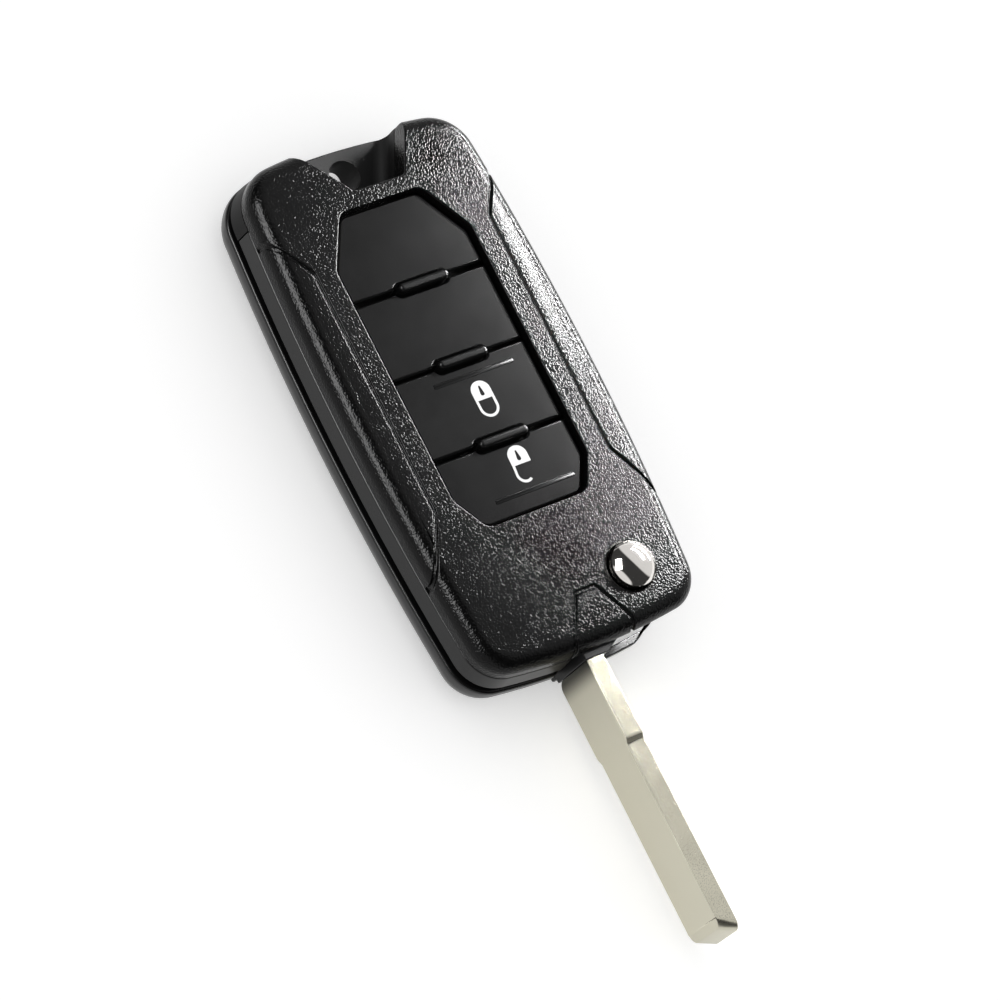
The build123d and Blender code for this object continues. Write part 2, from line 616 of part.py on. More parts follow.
# Hollow corner where the notch's right wall meets its floor
with BuildPart() as notch_cove:
    slant = math.radians(NOTCH_RIGHT_FLARE)
    along_wall = (math.sin(slant), math.cos(slant), 0)
    into_notch = (-math.cos(slant), math.sin(slant), 0)
    foot = (NOTCH_RIGHT_X, NOTCH_Y, NOTCH_FLOOR)
    with BuildSketch(Plane(foot, x_dir=into_notch, z_dir=along_wall)):
        with BuildLine():
            Line((NOTCH_FLOOR_BLEND, 0), (0, 0))
            Line((0, 0), (0, NOTCH_FLOOR_BLEND))
            RadiusArc((0, NOTCH_FLOOR_BLEND), (NOTCH_FLOOR_BLEND, 0), -NOTCH_FLOOR_BLEND)
        make_face()
    extrude(amount=2 * NOTCH_DEPTH, both=True)
    with BuildSketch(Plane.XY.offset(NOTCH_FLOOR)):
        add(case_outline(NOTCH_LIP_INSET))
        add(notch_outline(), mode=Mode.INTERSECT)
    extrude(amount=PARTING_HEIGHT - NOTCH_FLOOR, mode=Mode.INTERSECT)

# Ring end: a moulding of its own that carries the key ring hole and both prongs' roots
with BuildPart() as keyring_insert:
    add(rear_form())
    with BuildSketch(Plane.XY.offset(COVER_WALL)):
        add(insert_region(SEAT_PLAY))
    extrude(amount=PARTING_HEIGHT - COVER_WALL, mode=Mode.INTERSECT)
    # A lip over the cover's edge, as wide as the notch
    with BuildSketch(Plane.XY.offset(COVER_TOP)):
        add(case_outline(NOTCH_LIP_INSET))
        add(notch_outline(), mode=Mode.INTERSECT)
    extrude(amount=NOTCH_FLOOR - COVER_TOP)
    with BuildSketch(Plane.XY.offset(NOTCH_FLOOR)):
        add(notch_outline())
    extrude(amount=PARTING_HEIGHT - NOTCH_FLOOR, mode=Mode.SUBTRACT)
    add(notch_cove.part)
    with BuildSketch(Plane.XY.offset(COVER_WALL)):
        with Locations((RING_HOLE_X, RING_HOLE_Y)):
            Circle(RING_HOLE_RADIUS)
    extrude(amount=PARTING_HEIGHT - COVER_WALL, mode=Mode.SUBTRACT)
    rim = keyring_insert.edges().filter_by(GeomType.CIRCLE).group_by(Axis.Z)[0]
    chamfer([e for e in rim if abs(e.radius - RING_HOLE_RADIUS) < 0.01], RING_HOLE_CHAMFER)
    with BuildSketch(Plane.XY.offset(COVER_WALL)):
        with Locations(*SCREW_SPOTS[:2]):
            Circle(SCREW_HEAD_RADIUS + SEAT_PLAY)
    extrude(amount=SCREW_HEAD_SEAT - COVER_WALL, mode=Mode.SUBTRACT)
    with BuildSketch(Plane.XY.offset(SCREW_HEAD_SEAT)):
        with Locations(*SCREW_SPOTS[:2]):
            Circle(SCREW_SHANK_RADIUS + SEAT_PLAY)
    extrude(amount=PARTING_HEIGHT - SCREW_HEAD_SEAT, mode=Mode.SUBTRACT)
keyring_insert.part.label = "keyring_insert"
export_step(keyring_insert.part, "parts/keyring_insert.step")

# Back cover: the rounded back, its edge standing a shadow gap below the band
with BuildPart() as cover_hollow:
    with BuildSketch(Plane.XY.offset(COVER_WALL)):
        add(case_outline(COVER_WALL))
    extrude(amount=COVER_TOP - COVER_WALL)
    chamfer(cover_hollow.faces().sort_by(Axis.Z)[0].edges(), BACK_INNER_CHAMFER)

with BuildPart() as back_cover:
    with BuildSketch():
        add(case_outline())
    extrude(amount=COVER_TOP)
    fillet(back_cover.faces().sort_by(Axis.Z)[0].edges(), BACK_EDGE_RADIUS)
    chamfer(back_cover.faces().sort_by(Axis.Z)[-1].edges(), COVER_EDGE_CHAMFER)
    add(cover_hollow.part, mode=Mode.SUBTRACT)
    with BuildSketch(Plane.XY.offset(SLOT_BOTTOM)):
        add(sweep_outline())
        add(mouth_flare())
    extrude(amount=COVER_TOP - SLOT_BOTTOM, mode=Mode.SUBTRACT)
    # The sill under the blade's root and the opening behind it
    with BuildSketch(Plane.XY.offset(SLOT_BOTTOM - SILL_HEIGHT)):
        add(sill_outline())
    extrude(amount=SILL_HEIGHT)
    with BuildSketch():
        add(window_outline())
        with Locations((RING_HOLE_X, RING_HOLE_Y)):
            Circle(RING_HOLE_RADIUS + RING_HOLE_RELIEF)
    extrude(amount=COVER_TOP, mode=Mode.SUBTRACT)
back_cover.part.label = "back_cover"
export_step(back_cover.part, "parts/back_cover.step")

# Frame behind the pad: a plate with a wall round it and the three bars on the dividers
with BuildPart() as key_frame:
    with BuildSketch(Plane.XY.offset(MEMBRANE_TOP)):
        add(frame_outline())
    extrude(amount=SKIN_BOTTOM - MEMBRANE_TOP)
    with BuildSketch(Plane.XY.offset(MEMBRANE_TOP)):
        add(frame_outline(FRAME_WALL))
    extrude(amount=FRAME_BOTTOM - MEMBRANE_TOP, mode=Mode.SUBTRACT)
    with BuildSketch(Plane.XY.offset(FRAME_TOP)):
        add(pad_outline(FRAME_WALL_OFFSET))
    extrude(amount=SKIN_BOTTOM - FRAME_TOP, mode=Mode.SUBTRACT)
    for divider in DIVIDER_Y:
        with BuildSketch(Plane.XY.offset(FRAME_TOP)):
            add(bar_outline(divider))
        extrude(amount=CASE_THICKNESS + BAR_RISE - FRAME_TOP)
    fillet(key_frame.edges().group_by(Axis.Z)[-1], BAR_EDGE_RADIUS)
    with BuildSketch(Plane.XY.offset(FRAME_BOTTOM)):
        with Locations(field_middle(2), field_middle(3)):
            Circle(PLUNGER_RADIUS + PLUNGER_CLEARANCE)
    extrude(amount=FRAME_THICKNESS, mode=Mode.SUBTRACT)
key_frame.part.label = "key_frame"
export_step(key_frame.part, "parts/key_frame.step")

# The two blank fields nearest the ring end stand on the frame
with BuildPart() as blank_field_upper:
    with BuildSketch(Plane.XY.offset(FRAME_TOP)):
        add(field_outline(0, 0))
    extrude(amount=PAD_SURFACE - FRAME_TOP)
    chamfer(blank_field_upper.faces().sort_by(Axis.Z)[-1].edges(), FIELD_EDGE_CHAMFER)
blank_field_upper.part.label = "blank_field_upper"
export_step(blank_field_upper.part, "parts/blank_field_upper.step")

with BuildPart() as blank_field_lower:
    with BuildSketch(Plane.XY.offset(FRAME_TOP)):
        add(field_outline(1, 1))
    extrude(amount=PAD_SURFACE - FRAME_TOP)
    chamfer(blank_field_lower.faces().sort_by(Axis.Z)[-1].edges(), FIELD_EDGE_CHAMFER)
blank_field_lower.part.label = "blank_field_lower"
export_step(blank_field_lower.part, "parts/blank_field_lower.step")


def key_cap(index):
    """A key: its cap in the opening, a flange that the skin holds back, and a plunger."""
    with BuildPart() as cap:
        with BuildSketch(Plane.XY.offset(CAP_BOTTOM)):
            add(field_outline(index, index))
        extrude(amount=CAP_THICKNESS)
        chamfer(cap.faces().sort_by(Axis.Z)[-1].edges(), FIELD_EDGE_CHAMFER)
        with BuildSketch(Plane.XY.offset(FLANGE_BOTTOM)):
            add(field_outline(index, index, PAD_GAP + CAP_FLANGE_REACH))
        extrude(amount=CAP_FLANGE)
        with BuildSketch(Plane.XY.offset(FLANGE_BOTTOM - PLUNGER_LENGTH)):
            with Locations(field_middle(index)):
                Circle(PLUNGER_RADIUS)
        extrude(amount=PLUNGER_LENGTH)
    return cap.part


with BuildPart() as lock_button:
    add(key_cap(2))
lock_button.part.label = "lock_button"
export_step(lock_button.part, "parts/lock_button.step")

with BuildPart() as unlock_button:
    add(key_cap(3))
unlock_button.part.label = "unlock_button"
export_step(unlock_button.part, "parts/unlock_button.step")

# Membrane: a rubber sheet clamped at its edge, with a hollow dome below each key
with BuildPart() as key_membrane:
    with BuildSketch(Plane.XY.offset(MEMBRANE_BOTTOM)):
        add(frame_outline())
    extrude(amount=MEMBRANE_THICKNESS)
    with Locations([(x, y, MEMBRANE_TOP) for x, y in (field_middle(2), field_middle(3))]):
        Cone(
            MEMBRANE_DOME_RADIUS,
            MEMBRANE_DOME_TOP_RADIUS,
            MEMBRANE_DOME_HEIGHT,
            align=(Align.CENTER, Align.CENTER, Align.MIN),
        )
    with Locations([(x, y, MEMBRANE_BOTTOM) for x, y in (field_middle(2), field_middle(3))]):
        Cone(
            MEMBRANE_DOME_RADIUS - MEMBRANE_DOME_WALL,
            MEMBRANE_DOME_TOP_RADIUS - MEMBRANE_DOME_WALL,
            MEMBRANE_THICKNESS + MEMBRANE_DOME_HEIGHT - MEMBRANE_DOME_WALL,
            align=(Align.CENTER, Align.CENTER, Align.MIN),
            mode=Mode.SUBTRACT,
        )
key_membrane.part.label = "key_membrane"
export_step(key_membrane.part, "parts/key_membrane.step")

# Blade blank: drawn on its wide face, with two shoulders and a slanted tip
PIN_Y = ARM_END_Y + BLADE_PIN_DEPTH
with BuildPart() as blade:
    with BuildSketch(Plane.YZ.offset(BLADE_X - BLADE_THICKNESS / 2)) as wide_face:
        half = BLADE_WIDTH / 2
        step = half - BLADE_SHOULDER_STEP
        with BuildLine():
            Polyline(
                (ARM_END_Y, BLADE_MIDDLE + half),
                (BLADE_SHOULDER_Y + BLADE_SHOULDER_RUN, BLADE_MIDDLE + half),
                (BLADE_SHOULDER_Y, BLADE_MIDDLE + step),
                (BLADE_TIP_Y, BLADE_MIDDLE + step),
                (BLADE_TIP_Y, BLADE_MIDDLE - step),
                (BLADE_SHOULDER_Y, BLADE_MIDDLE - step),
                (BLADE_SHOULDER_Y + BLADE_SHOULDER_RUN, BLADE_MIDDLE - half),
                (ARM_END_Y, BLADE_MIDDLE - half),
                close=True,
            )
        make_face()
        fillet(wide_face.vertices().group_by(Axis.Y)[0], BLADE_TIP_CORNER_RADIUS)
    extrude(amount=BLADE_THICKNESS)
    with BuildSketch(Plane.XY.offset(BLADE_BOTTOM)):
        with BuildLine():
            Polyline(
                (BLADE_X - BLADE_THICKNESS / 2, BLADE_TIP_Y + BLADE_TIP_SLANT),
                (BLADE_X + BLADE_THICKNESS / 2, BLADE_TIP_Y),
                (BLADE_X - BLADE_THICKNESS / 2, BLADE_TIP_Y),
                close=True,
            )
        make_face()
    extrude(amount=BLADE_WIDTH, mode=Mode.SUBTRACT)
    # The tang inside the arm, with the hole of its pin
    with BuildSketch(Plane.XY.offset(BLADE_MIDDLE - TANG_WIDTH / 2)):
        add(
            box_region(
                BLADE_X - TANG_THICKNESS / 2,
                BLADE_X + TANG_THICKNESS / 2,
                ARM_END_Y,
                ARM_END_Y + TANG_LENGTH,
            )
        )
    extrude(amount=TANG_WIDTH)
    with BuildSketch(Plane.YZ.offset(BLADE_X - BLADE_THICKNESS)):
        with Locations((PIN_Y, BLADE_MIDDLE)):
            Circle(BLADE_PIN_RADIUS + TANG_PLAY)
    extrude(amount=2 * BLADE_THICKNESS, mode=Mode.SUBTRACT)
blade.part.label = "blade"
export_step(blade.part, "parts/blade.step")

# Hub: a barrel on the pivot with an arm that reaches sideways to the blade
with BuildPart() as blade_hub:
    with BuildSketch(Plane.XY.offset(BLADE_BOTTOM)) as arm:
        left = BLADE_X - BLADE_THICKNESS / 2
        right = BLADE_X + BLADE_THICKNESS / 2 + ARM_CHEEK
        with BuildLine():
            Polyline(
                (left, ARM_END_Y),
                (right, ARM_END_Y),
                (PIVOT_X, PIVOT_Y - BARREL_RADIUS),
                (PIVOT_X, PIVOT_Y + ARM_TOP_RISE),
                (left, PIVOT_Y + ARM_TOP_RISE),
                close=True,
            )
        make_face()
        with Locations((PIVOT_X, PIVOT_Y)):
            Circle(BARREL_RADIUS)
        # The corner that leads in the swing stays within the arm's own radius
        with BuildSketch(mode=Mode.PRIVATE) as reach:
            add(box_region(-FAR, FAR, PIVOT_Y, FAR))
            with Locations((PIVOT_X, PIVOT_Y)):
                Circle(ARM_RADIUS, mode=Mode.SUBTRACT)
        add(reach.sketch, mode=Mode.SUBTRACT)
    extrude(amount=BLADE_WIDTH)
    with BuildSketch(Plane.XY.offset(BLADE_TOP)):
        with Locations((PIVOT_X, PIVOT_Y)):
            Circle(NECK_RADIUS)
    extrude(amount=NECK_HEIGHT)
    with BuildSketch(Plane.XY.offset(BLADE_BOTTOM)):
        with Locations((PIVOT_X, PIVOT_Y)):
            Circle(SEAT_BOSS_RADIUS + RUNNING_CLEARANCE)
    extrude(amount=HUB_LEDGE - BLADE_BOTTOM, mode=Mode.SUBTRACT)
    with BuildSketch(Plane.XY.offset(HUB_LEDGE)):
        with Locations((PIVOT_X, PIVOT_Y)):
            Circle(BORE_RADIUS)
    extrude(amount=NECK_TOP - HUB_LEDGE, mode=Mode.SUBTRACT)
    # Grooves for the button's lugs, open at the top
    groove_bottom = NECK_TOP - LUG_HEIGHT - BUTTON_TRAVEL - 2 * LUG_CLEARANCE
    with BuildSketch(Plane.XY.offset(groove_bottom)):
        with Locations((PIVOT_X, PIVOT_Y)):
            Rectangle(
                2 * (BUTTON_RADIUS + LUG_REACH + LUG_CLEARANCE),
                LUG_WIDTH + 2 * LUG_CLEARANCE,
            )
    extrude(amount=NECK_TOP - groove_bottom, mode=Mode.SUBTRACT)
    # Socket of the tang, and the pin's hole from the outer side
    with BuildSketch(Plane.XY.offset(BLADE_MIDDLE - TANG_WIDTH / 2 - TANG_PLAY)):
        add(
            box_region(
                BLADE_X - TANG_THICKNESS / 2 - TANG_PLAY,
                BLADE_X + TANG_THICKNESS / 2 + TANG_PLAY,
                ARM_END_Y,
                ARM_END_Y + TANG_LENGTH + TANG_PLAY,
            )
        )
    extrude(amount=TANG_WIDTH + 2 * TANG_PLAY, mode=Mode.SUBTRACT)
    with BuildSketch(Plane.YZ.offset(left)):
        with Locations((PIN_Y, BLADE_MIDDLE)):
            Circle(BLADE_PIN_RADIUS + TANG_PLAY)
    extrude(amount=BLADE_PIN_LENGTH + TANG_PLAY, mode=Mode.SUBTRACT)
blade_hub.part.label = "blade_hub"
export_step(blade_hub.part, "parts/blade_hub.step")

# Roll pin through the arm and the tang
with BuildPart() as blade_pin:
    with BuildSketch(Plane.YZ.offset(left)):
        with Locations((PIN_Y, BLADE_MIDDLE)):
            Circle(BLADE_PIN_RADIUS)
            Circle(BLADE_PIN_RADIUS - BLADE_PIN_WALL, mode=Mode.SUBTRACT)
    extrude(amount=BLADE_PIN_LENGTH)
blade_pin.part.label = "blade_pin"
export_step(blade_pin.part, "parts/blade_pin.step")

# Release button: a domed cap on a skirt that slides in the hub, with two lugs in its grooves
RIM_Z = CASE_THICKNESS + BUTTON_RIM_RISE
DOME_TOP = RIM_Z + BUTTON_DOME_RISE
DOME_RADIUS = (BUTTON_RADIUS**2 + BUTTON_DOME_RISE**2) / (2 * BUTTON_DOME_RISE)
HALF_WAY = math.asin(BUTTON_RADIUS / DOME_RADIUS) / 2
with BuildPart() as release_button:
    with BuildSketch(Plane((PIVOT_X, PIVOT_Y, 0), x_dir=(1, 0, 0), z_dir=(0, -1, 0))):
        inner = BUTTON_RADIUS - BUTTON_SKIRT_WALL
        with BuildLine():
            Polyline(
                (0, DOME_TOP),
                (0, BUTTON_ROOF_BOTTOM),
                (inner, BUTTON_ROOF_BOTTOM),
                (inner, BUTTON_SKIRT_BOTTOM),
                (BUTTON_RADIUS, BUTTON_SKIRT_BOTTOM),
                (BUTTON_RADIUS, RIM_Z),
            )
            ThreePointArc(
                (BUTTON_RADIUS, RIM_Z),
                (
                    DOME_RADIUS * math.sin(HALF_WAY),
                    DOME_TOP - DOME_RADIUS * (1 - math.cos(HALF_WAY)),
                ),
                (0, DOME_TOP),
            )
        make_face()
    revolve(axis=Axis((PIVOT_X, PIVOT_Y, 0), (0, 0, 1)))
    with BuildSketch(Plane.XY.offset(NECK_TOP - LUG_HEIGHT)):
        with Locations((PIVOT_X, PIVOT_Y)):
            Rectangle(2 * (BUTTON_RADIUS + LUG_REACH), LUG_WIDTH)
            Circle(BUTTON_RADIUS - BUTTON_SKIRT_WALL / 2, mode=Mode.SUBTRACT)
    extrude(amount=LUG_HEIGHT)
release_button.part.label = "release_button"
export_step(release_button.part, "parts/release_button.step")

# Seat of the spring: a flange in the tray's floor and a boss that the hub turns on
with BuildPart() as spring_seat:
    with BuildSketch(Plane.XY.offset(COVER_WALL)):
        with Locations((PIVOT_X, PIVOT_Y)):
            Circle(SEAT_FLANGE_RADIUS)
    extrude(amount=SLOT_BOTTOM - COVER_WALL)
    with BuildSketch(Plane.XY.offset(SLOT_BOTTOM)):
        with Locations((PIVOT_X, PIVOT_Y)):
            Circle(SEAT_BOSS_RADIUS)
    extrude(amount=SEAT_BOSS_TOP - SLOT_BOTTOM)
spring_seat.part.label = "spring_seat"
export_step(spring_seat.part, "parts/spring_seat.step")

# Coil spring between the seat and the button's roof
with BuildPart() as flip_spring:
    coil_bottom = SEAT_BOSS_TOP + SPRING_WIRE * 0.55
    coil_height = BUTTON_ROOF_BOTTOM - SPRING_WIRE * 0.55 - coil_bottom
    with BuildLine() as coil:
        Helix(
            pitch=coil_height / SPRING_TURNS,
            height=coil_height,
            radius=SPRING_COIL_RADIUS,
            center=(PIVOT_X, PIVOT_Y, coil_bottom),
        )
    with BuildSketch(Plane(coil.line @ 0, z_dir=coil.line % 0)):
        Rectangle(SPRING_WIRE, SPRING_WIRE)
    sweep(is_frenet=True)
flip_spring.part.label = "flip_spring"
export_step(flip_spring.part, "parts/flip_spring.step")


def case_screw(spot):
    """A small screw driven from the back, with a cross recess in its head."""
    with BuildPart() as screw:
        with BuildSketch(Plane.XY.offset(SCREW_HEAD_SEAT - SCREW_HEAD_HEIGHT)):
            with Locations(spot):
                Circle(SCREW_HEAD_RADIUS)
        extrude(amount=SCREW_HEAD_HEIGHT)
        with BuildSketch(Plane.XY.offset(SCREW_HEAD_SEAT)):
            with Locations(spot):
                Circle(SCREW_SHANK_RADIUS)
        extrude(amount=SCREW_LENGTH)
        chamfer(screw.edges().group_by(Axis.Z)[-1], SCREW_SHANK_RADIUS * 0.4)
        with BuildSketch(Plane.XY.offset(SCREW_HEAD_SEAT - SCREW_HEAD_HEIGHT)):
            with Locations(spot):
                Rectangle(SCREW_RECESS_LENGTH, SCREW_RECESS_WIDTH)
                Rectangle(SCREW_RECESS_WIDTH, SCREW_RECESS_LENGTH)
        extrude(amount=SCREW_RECESS_DEPTH, mode=Mode.SUBTRACT)
    return screw.part


# Four screws, two through the ring end and two beside the hub
with BuildPart() as case_screw_1:
    add(case_screw(SCREW_SPOTS[0]))
case_screw_1.part.label = "case_screw_1"
export_step(case_screw_1.part, "parts/case_screw_1.step")

with BuildPart() as case_screw_2:
    add(case_screw(SCREW_SPOTS[1]))
case_screw_2.part.label = "case_screw_2"
export_step(case_screw_2.part, "parts/case_screw_2.step")

with BuildPart() as case_screw_3:
    add(case_screw(SCREW_SPOTS[2]))
case_screw_3.part.label = "case_screw_3"
export_step(case_screw_3.part, "parts/case_screw_3.step")

with BuildPart() as case_screw_4:
    add(case_screw(SCREW_SPOTS[3]))
case_screw_4.part.label = "case_screw_4"
export_step(case_screw_4.part, "parts/case_screw_4.step")
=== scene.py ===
"""Folding car key case with its blade open, dressed for rendering.

The moulded case, the pad, the printed padlocks, the plated button and the blade are finished here
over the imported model. Sizes are in metres.
"""
import json
import math

import bmesh
import bpy
from mathutils import Matrix, Vector

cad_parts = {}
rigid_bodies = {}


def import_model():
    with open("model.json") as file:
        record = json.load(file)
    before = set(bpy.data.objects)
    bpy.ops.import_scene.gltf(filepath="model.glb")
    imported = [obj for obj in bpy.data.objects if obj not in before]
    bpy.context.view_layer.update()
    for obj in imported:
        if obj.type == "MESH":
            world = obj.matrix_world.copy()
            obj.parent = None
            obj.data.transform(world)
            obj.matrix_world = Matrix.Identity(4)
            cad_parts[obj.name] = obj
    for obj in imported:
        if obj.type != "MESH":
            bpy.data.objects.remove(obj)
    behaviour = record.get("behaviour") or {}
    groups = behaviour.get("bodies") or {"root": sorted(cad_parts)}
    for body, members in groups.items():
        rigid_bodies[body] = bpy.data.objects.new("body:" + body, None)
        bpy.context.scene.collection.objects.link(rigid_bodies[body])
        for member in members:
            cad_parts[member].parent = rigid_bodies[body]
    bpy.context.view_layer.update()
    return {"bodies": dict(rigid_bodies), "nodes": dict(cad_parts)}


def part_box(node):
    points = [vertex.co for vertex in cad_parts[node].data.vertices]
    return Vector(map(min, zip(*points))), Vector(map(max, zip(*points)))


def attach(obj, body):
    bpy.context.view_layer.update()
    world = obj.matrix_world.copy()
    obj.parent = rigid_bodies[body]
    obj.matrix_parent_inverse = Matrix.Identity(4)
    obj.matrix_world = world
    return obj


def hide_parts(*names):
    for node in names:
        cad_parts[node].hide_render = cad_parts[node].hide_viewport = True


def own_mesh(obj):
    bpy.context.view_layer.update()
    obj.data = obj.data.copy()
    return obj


bl_info = {
    "name": "Folding key case",
    "version": (1, 0, 0),
    "blender": (4, 5, 0),
    "location": "View3D > Sidebar > Key case",
    "description": "Dresses the folding car key case and its blade",
    "category": "Object",
}

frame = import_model()
LOCK_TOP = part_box("lock_button")[1].z
UNLOCK_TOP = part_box("unlock_button")[1].z

FIELD_NODES = ("blank_field_upper", "blank_field_lower", "lock_button", "unlock_button")
SMALL_STEEL = (
    "blade_pin",
    "spring_seat",
    "case_screw_1",
    "case_screw_2",
    "case_screw_3",
    "case_screw_4",
)

MM = 0.001
# Points nearer than this are one point, and faces flatter than this many degrees are one face
WELD = 0.001 * MM
FLAT_ANGLE = 0.1
# An edge that turns by more than this many degrees is rounded
SHARP_ANGLE = 28.0


# Sizes and colours that a user would change


class CaseSettings(bpy.types.PropertyGroup):
    edge_round: bpy.props.FloatProperty(
        name="Edge rounding",
        description="Radius that moulding leaves on the case's sharp edges",
        default=0.0002,
        min=0.0,
        unit="LENGTH",
        precision=5,
    )
    grain_size: bpy.props.FloatProperty(
        name="Grain size",
        description="Distance from one pebble of the front's grain to the next",
        default=0.00023,
        min=0.00005,
        unit="LENGTH",
        precision=5,
    )
    grain_depth: bpy.props.FloatProperty(
        name="Grain depth",
        description="Height of the front's grain",
        default=0.000019,
        min=0.0,
        unit="LENGTH",
        precision=6,
    )
    colour: bpy.props.FloatVectorProperty(
        name="Case colour",
        description="Colour of the moulded case",
        default=(0.003, 0.003, 0.0031, 1.0),
        size=4,
        min=0.0,
        max=1.0,
        subtype="COLOR",
    )


class PadSettings(bpy.types.PropertyGroup):
    edge_round: bpy.props.FloatProperty(
        name="Field edge rounding",
        description="Radius on the edges of the four fields",
        default=0.00009,
        min=0.0,
        unit="LENGTH",
        precision=5,
    )
    print_thickness: bpy.props.FloatProperty(
        name="Print thickness",
        description="Thickness of the printed padlocks",
        default=0.00003,
        min=0.000005,
        unit="LENGTH",
        precision=6,
    )
    colour: bpy.props.FloatVectorProperty(
        name="Pad colour",
        description="Colour of the four fields",
        default=(0.0045, 0.0045, 0.0046, 1.0),
        size=4,
        min=0.0,
        max=1.0,
        subtype="COLOR",
    )
    print_colour: bpy.props.FloatVectorProperty(
        name="Print colour",
        description="Colour of the printed padlocks",
        default=(0.72, 0.72, 0.72, 1.0),
        size=4,
        min=0.0,
        max=1.0,
        subtype="COLOR",
    )
    bar_colour: bpy.props.FloatVectorProperty(
        name="Bar colour",
        description="Colour of the polished bars between the fields",
        default=(0.004, 0.004, 0.004, 1.0),
        size=4,
        min=0.0,
        max=1.0,
        subtype="COLOR",
    )
    membrane_colour: bpy.props.FloatVectorProperty(
        name="Membrane colour",
        description="Colour of the rubber mat under the fields",
        default=(0.03, 0.03, 0.03, 1.0),
        size=4,
        min=0.0,
        max=1.0,
        subtype="COLOR",
    )


class BladeSettings(bpy.types.PropertyGroup):
    tip_round: bpy.props.FloatProperty(
        name="Tip rounding",
        description="Radius of the two corners of the blade's tip",
        default=0.0012,
        min=0.0,
        unit="LENGTH",
        precision=5,
    )
    edge_round: bpy.props.FloatProperty(
        name="Blade edge rounding",
        description="Radius on the long edges of the blade",
        default=0.00013,
        min=0.0,
        unit="LENGTH",
        precision=5,
    )
    colour: bpy.props.FloatVectorProperty(
        name="Blade colour",
        description="Colour of the nickel silver",
        default=(0.54, 0.518, 0.423, 1.0),
        size=4,
        min=0.0,
        max=1.0,
        subtype="COLOR",
    )
    hub_colour: bpy.props.FloatVectorProperty(
        name="Hub colour",
        description="Colour of the hub that carries the blade",
        default=(0.0055, 0.0055, 0.0058, 1.0),
        size=4,
        min=0.0,
        max=1.0,
        subtype="COLOR",
    )
    steel_colour: bpy.props.FloatVectorProperty(
        name="Steel colour",
        description="Colour of the pin, the coil, its seat and the screws",
        default=(0.62, 0.62, 0.64, 1.0),
        size=4,
        min=0.0,
        max=1.0,
        subtype="COLOR",
    )


class ButtonSettings(bpy.types.PropertyGroup):
    colour: bpy.props.FloatVectorProperty(
        name="Plating colour",
        description="Colour of the release button's plating",
        default=(0.86, 0.83, 0.79, 1.0),
        size=4,
        min=0.0,
        max=1.0,
        subtype="COLOR",
    )


class StageSettings(bpy.types.PropertyGroup):
    floor_colour: bpy.props.FloatVectorProperty(
        name="Floor colour",
        description="Colour of the floor",
        default=(0.86, 0.86, 0.86, 1.0),
        size=4,
        min=0.0,
        max=1.0,
        subtype="COLOR",
    )
    key_power: bpy.props.FloatProperty(
        name="Key light",
        description="Power of the strip close above the right side",
        default=0.44,
        min=0.0,
        unit="POWER",
    )
    side_power: bpy.props.FloatProperty(
        name="Side light",
        description="Power of the large lamp at the left",
        default=1.0,
        min=0.0,
        unit="POWER",
    )
    spark_power: bpy.props.FloatProperty(
        name="Low light",
        description="Power of the low strip at the right, which draws the rims and the grain",
        default=0.5,
        min=0.0,
        unit="POWER",
    )


# Shared node groups


def node_group(name, inputs, outputs):
    """An empty shader group with named inputs, each with its default, and named outputs."""
    group = bpy.data.node_groups.new(name, "ShaderNodeTree")
    for label, kind, default in inputs:
        socket = group.interface.new_socket(label, in_out="INPUT", socket_type=kind)
        if default is not None:
            socket.default_value = default
    for label, kind in outputs:
        group.interface.new_socket(label, in_out="OUTPUT", socket_type=kind)
    start = group.nodes.new("NodeGroupInput")
    end = group.nodes.new("NodeGroupOutput")
    return group, start.outputs, end.inputs


def feed(tree, value, socket):
    """Links a socket to an input, or sets the input to a number."""
    if isinstance(value, bpy.types.NodeSocket):
        tree.links.new(value, socket)
    else:
        socket.default_value = value


def add_math(tree, operation, *values):
    """A Math node whose inputs are sockets or numbers. Returns its output."""
    node = tree.nodes.new("ShaderNodeMath")
    node.operation = operation
    for index, value in enumerate(values):
        feed(tree, value, node.inputs[index])
    return node.outputs[0]


def add_range(tree, value, source, target, smooth=False):
    """A Map Range node from one pair of numbers to another. Returns its output."""
    node = tree.nodes.new("ShaderNodeMapRange")
    if smooth:
        node.interpolation_type = "SMOOTHSTEP"
    for label, number in zip(("From Min", "From Max", "To Min", "To Max"), source + target):
        feed(tree, number, node.inputs[label])
    feed(tree, value, node.inputs["Value"])
    return node.outputs["Result"]


def add_noise(tree, vector, scale, detail, roughness):
    """A Noise Texture node. Returns its factor."""
    node = tree.nodes.new("ShaderNodeTexNoise")
    feed(tree, vector, node.inputs["Vector"])
    feed(tree, scale, node.inputs["Scale"])
    node.inputs["Detail"].default_value = detail
    node.inputs["Roughness"].default_value = roughness
    return node.outputs["Fac"]


def pebble_grain():
    """Height of a leathery grain: rounded pebbles of one size with narrow valleys between them."""
    group, given, out = node_group(
        "pebble_grain",
        [("Vector", "NodeSocketVector", None), ("Scale", "NodeSocketFloat", 4800.0)],
        [("Height", "NodeSocketFloat")],
    )
    cloud = add_noise(group, given["Vector"], given["Scale"], 0.0, 0.5)
    feed(group, add_range(group, cloud, (0.3, 0.7), (0.0, 1.0), smooth=True), out["Height"])
    return group


